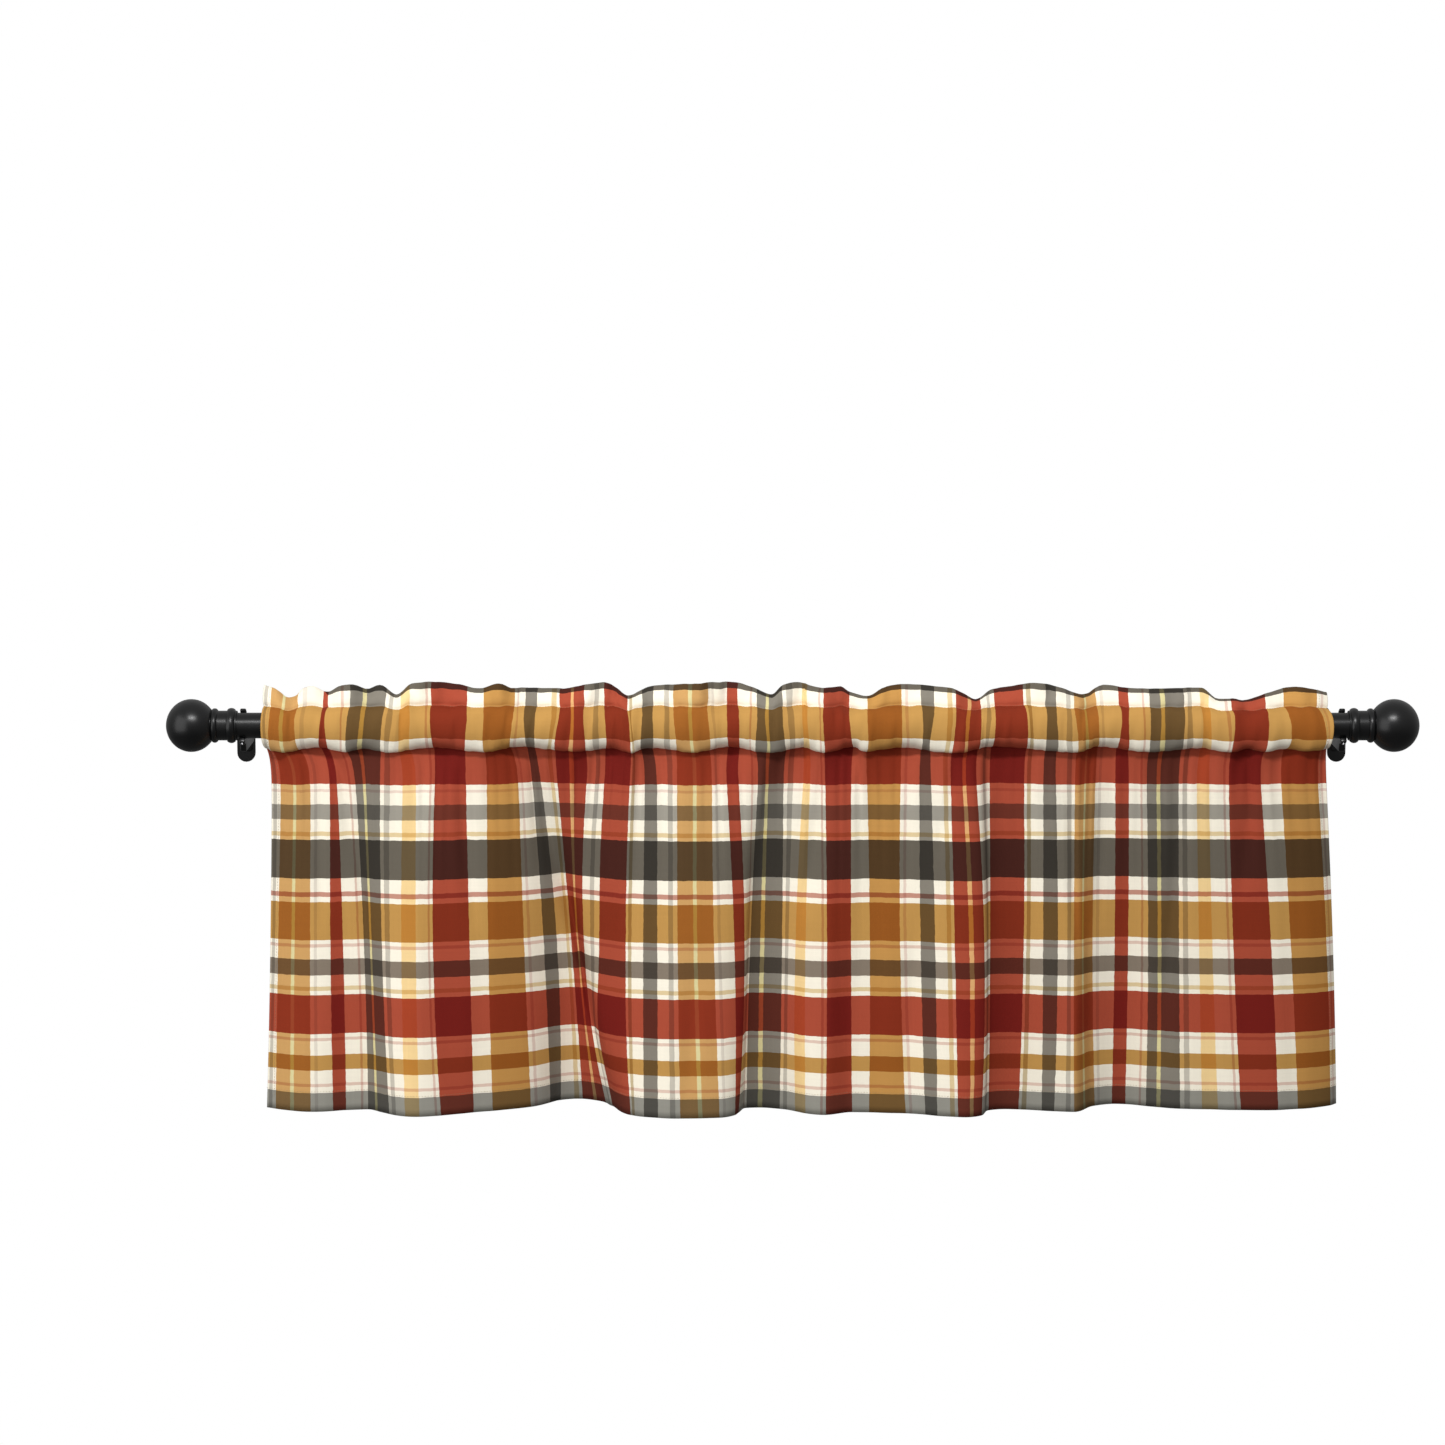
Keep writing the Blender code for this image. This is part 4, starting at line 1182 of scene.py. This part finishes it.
def steel_material(name):
    """Plain steel with fine lines along X."""
    made, nodes, shader = new_material(name)
    place = nodes.add("ShaderNodeTexCoord").outputs["Object"]
    lines = nodes.noise(nodes.stretched(place, (300.0, 2600.0, 2600.0)), 1.0, 2.0)
    nodes.link(nodes.between(lines, 0.3, 0.7, 0.24, 0.42), shader.inputs["Roughness"])
    tone = nodes.mix(lines, (0.16, 0.16, 0.17, 1.0), (0.28, 0.28, 0.29, 1.0))
    nodes.link(tone, shader.inputs["Base Color"])
    shader.inputs["Metallic"].default_value = 1.0
    return made


def make_camera():
    data = bpy.data.cameras.new("camera")
    data.sensor_width = SENSOR_WIDTH
    data.lens = SENSOR_WIDTH * CAMERA_DISTANCE / FRAME_WIDTH
    data.clip_end = 50.0
    camera = add_object("camera", data)
    tilt = math.radians(CAMERA_ELEVATION)
    back = Vector((0.0, -math.cos(tilt), math.sin(tilt)))
    camera.location = (Vector(CAMERA_TARGET) + back * CAMERA_DISTANCE) * MM
    camera.rotation_euler = (-back).to_track_quat("-Z", "Y").to_euler()
    bpy.context.scene.camera = camera


def add_light(name, place, aim, size, power):
    """A soft box: size is its width and height."""
    data = bpy.data.lights.new(name, "AREA")
    data.shape = "RECTANGLE"
    data.size, data.size_y = size
    data.energy = power
    light = add_object(name, data)
    light.location = place
    light.rotation_euler = (Vector(aim) - Vector(place)).to_track_quat("-Z", "Y").to_euler()


def make_world(above, below):
    """White behind the object for the camera, and a softer light that is stronger from above."""
    world = bpy.data.worlds.new("studio")
    bpy.context.scene.world = world
    world.use_nodes = True
    nodes = Nodes(world.node_tree)
    background = world.node_tree.nodes["Background"]
    background.inputs["Color"].default_value = (1.0, 1.0, 1.0, 1.0)
    split = nodes.add("ShaderNodeSeparateXYZ")
    nodes.link(nodes.add("ShaderNodeTexCoord").outputs["Generated"], split.inputs[0])
    light = nodes.between(split.outputs[2], -0.5, 0.6, below, above)
    seen = nodes.add("ShaderNodeLightPath").outputs["Is Camera Ray"]
    nodes.link(nodes.math("MAXIMUM", seen, light), background.inputs["Strength"])


def finished_copy(node, finish, rounded):
    """A merged copy of a CAD node, smooth over its curves, whose sharp edges stay sharp."""
    mesh = node.data.copy()
    work = bmesh.new()
    work.from_mesh(mesh)
    bmesh.ops.remove_doubles(work, verts=work.verts[:], dist=1e-6)
    if rounded:
        bmesh.ops.join_triangles(
            work, faces=work.faces[:], angle_face_threshold=PAIR_ANGLE, angle_shape_threshold=math.pi
        )
    crease = work.edges.layers.float.new("crease_edge")
    for edge in work.edges:
        sharp = len(edge.link_faces) != 2 or edge.calc_face_angle() > SHARP_ANGLE
        edge.smooth = not sharp
        edge[crease] = 1.0 if sharp else 0.0
    for face in work.faces:
        face.smooth = True
    work.to_mesh(mesh)
    work.free()
    mesh.materials.clear()
    mesh.materials.append(finish)
    piece = add_object("finished_" + node.name, mesh)
    if rounded:
        modifier = piece.modifiers.new("rounding", "SUBSURF")
        modifier.levels = modifier.render_levels = 1
    return piece


def finish_metal(frame, black, steel):
    """Replaces every CAD node but the cloth by its finished copy."""
    for name, node in frame["nodes"].items():
        if name == "valance_cloth":
            continue
        is_steel = name.startswith("set_screw")
        rounded = name.startswith(("rod", "finial"))
        piece = finished_copy(node, steel if is_steel else black, rounded)
        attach(piece, "root")
        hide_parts(name)


def main():
    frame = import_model()
    bpy.context.scene.view_settings.view_transform = "Standard"
    make_camera()

    print_tree, weave_tree = plaid_group(), weave_group()
    printed = cloth_material("printed cotton", print_tree, weave_tree, *PRINTED_SIDE)
    reverse = cloth_material("cotton reverse", print_tree, weave_tree, *REVERSE_SIDE)
    black = enamel_material("satin black enamel", ENAMEL_COLOUR, ENAMEL_ROUGHNESS)
    steel = steel_material("screw steel")

    grid, places = grid_of_cloth()
    cloth = make_cloth(grid, places, printed, reverse)
    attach(cloth, "root")
    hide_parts("valance_cloth")
    stitches = make_stitches(grid, places, thread_material("cotton thread", THREAD_DYE))
    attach(stitches, "root")

    finish_metal(frame, black, steel)
    make_world(*WORLD_LIGHT)
    for light in LIGHTS:
        add_light(*light)


main()
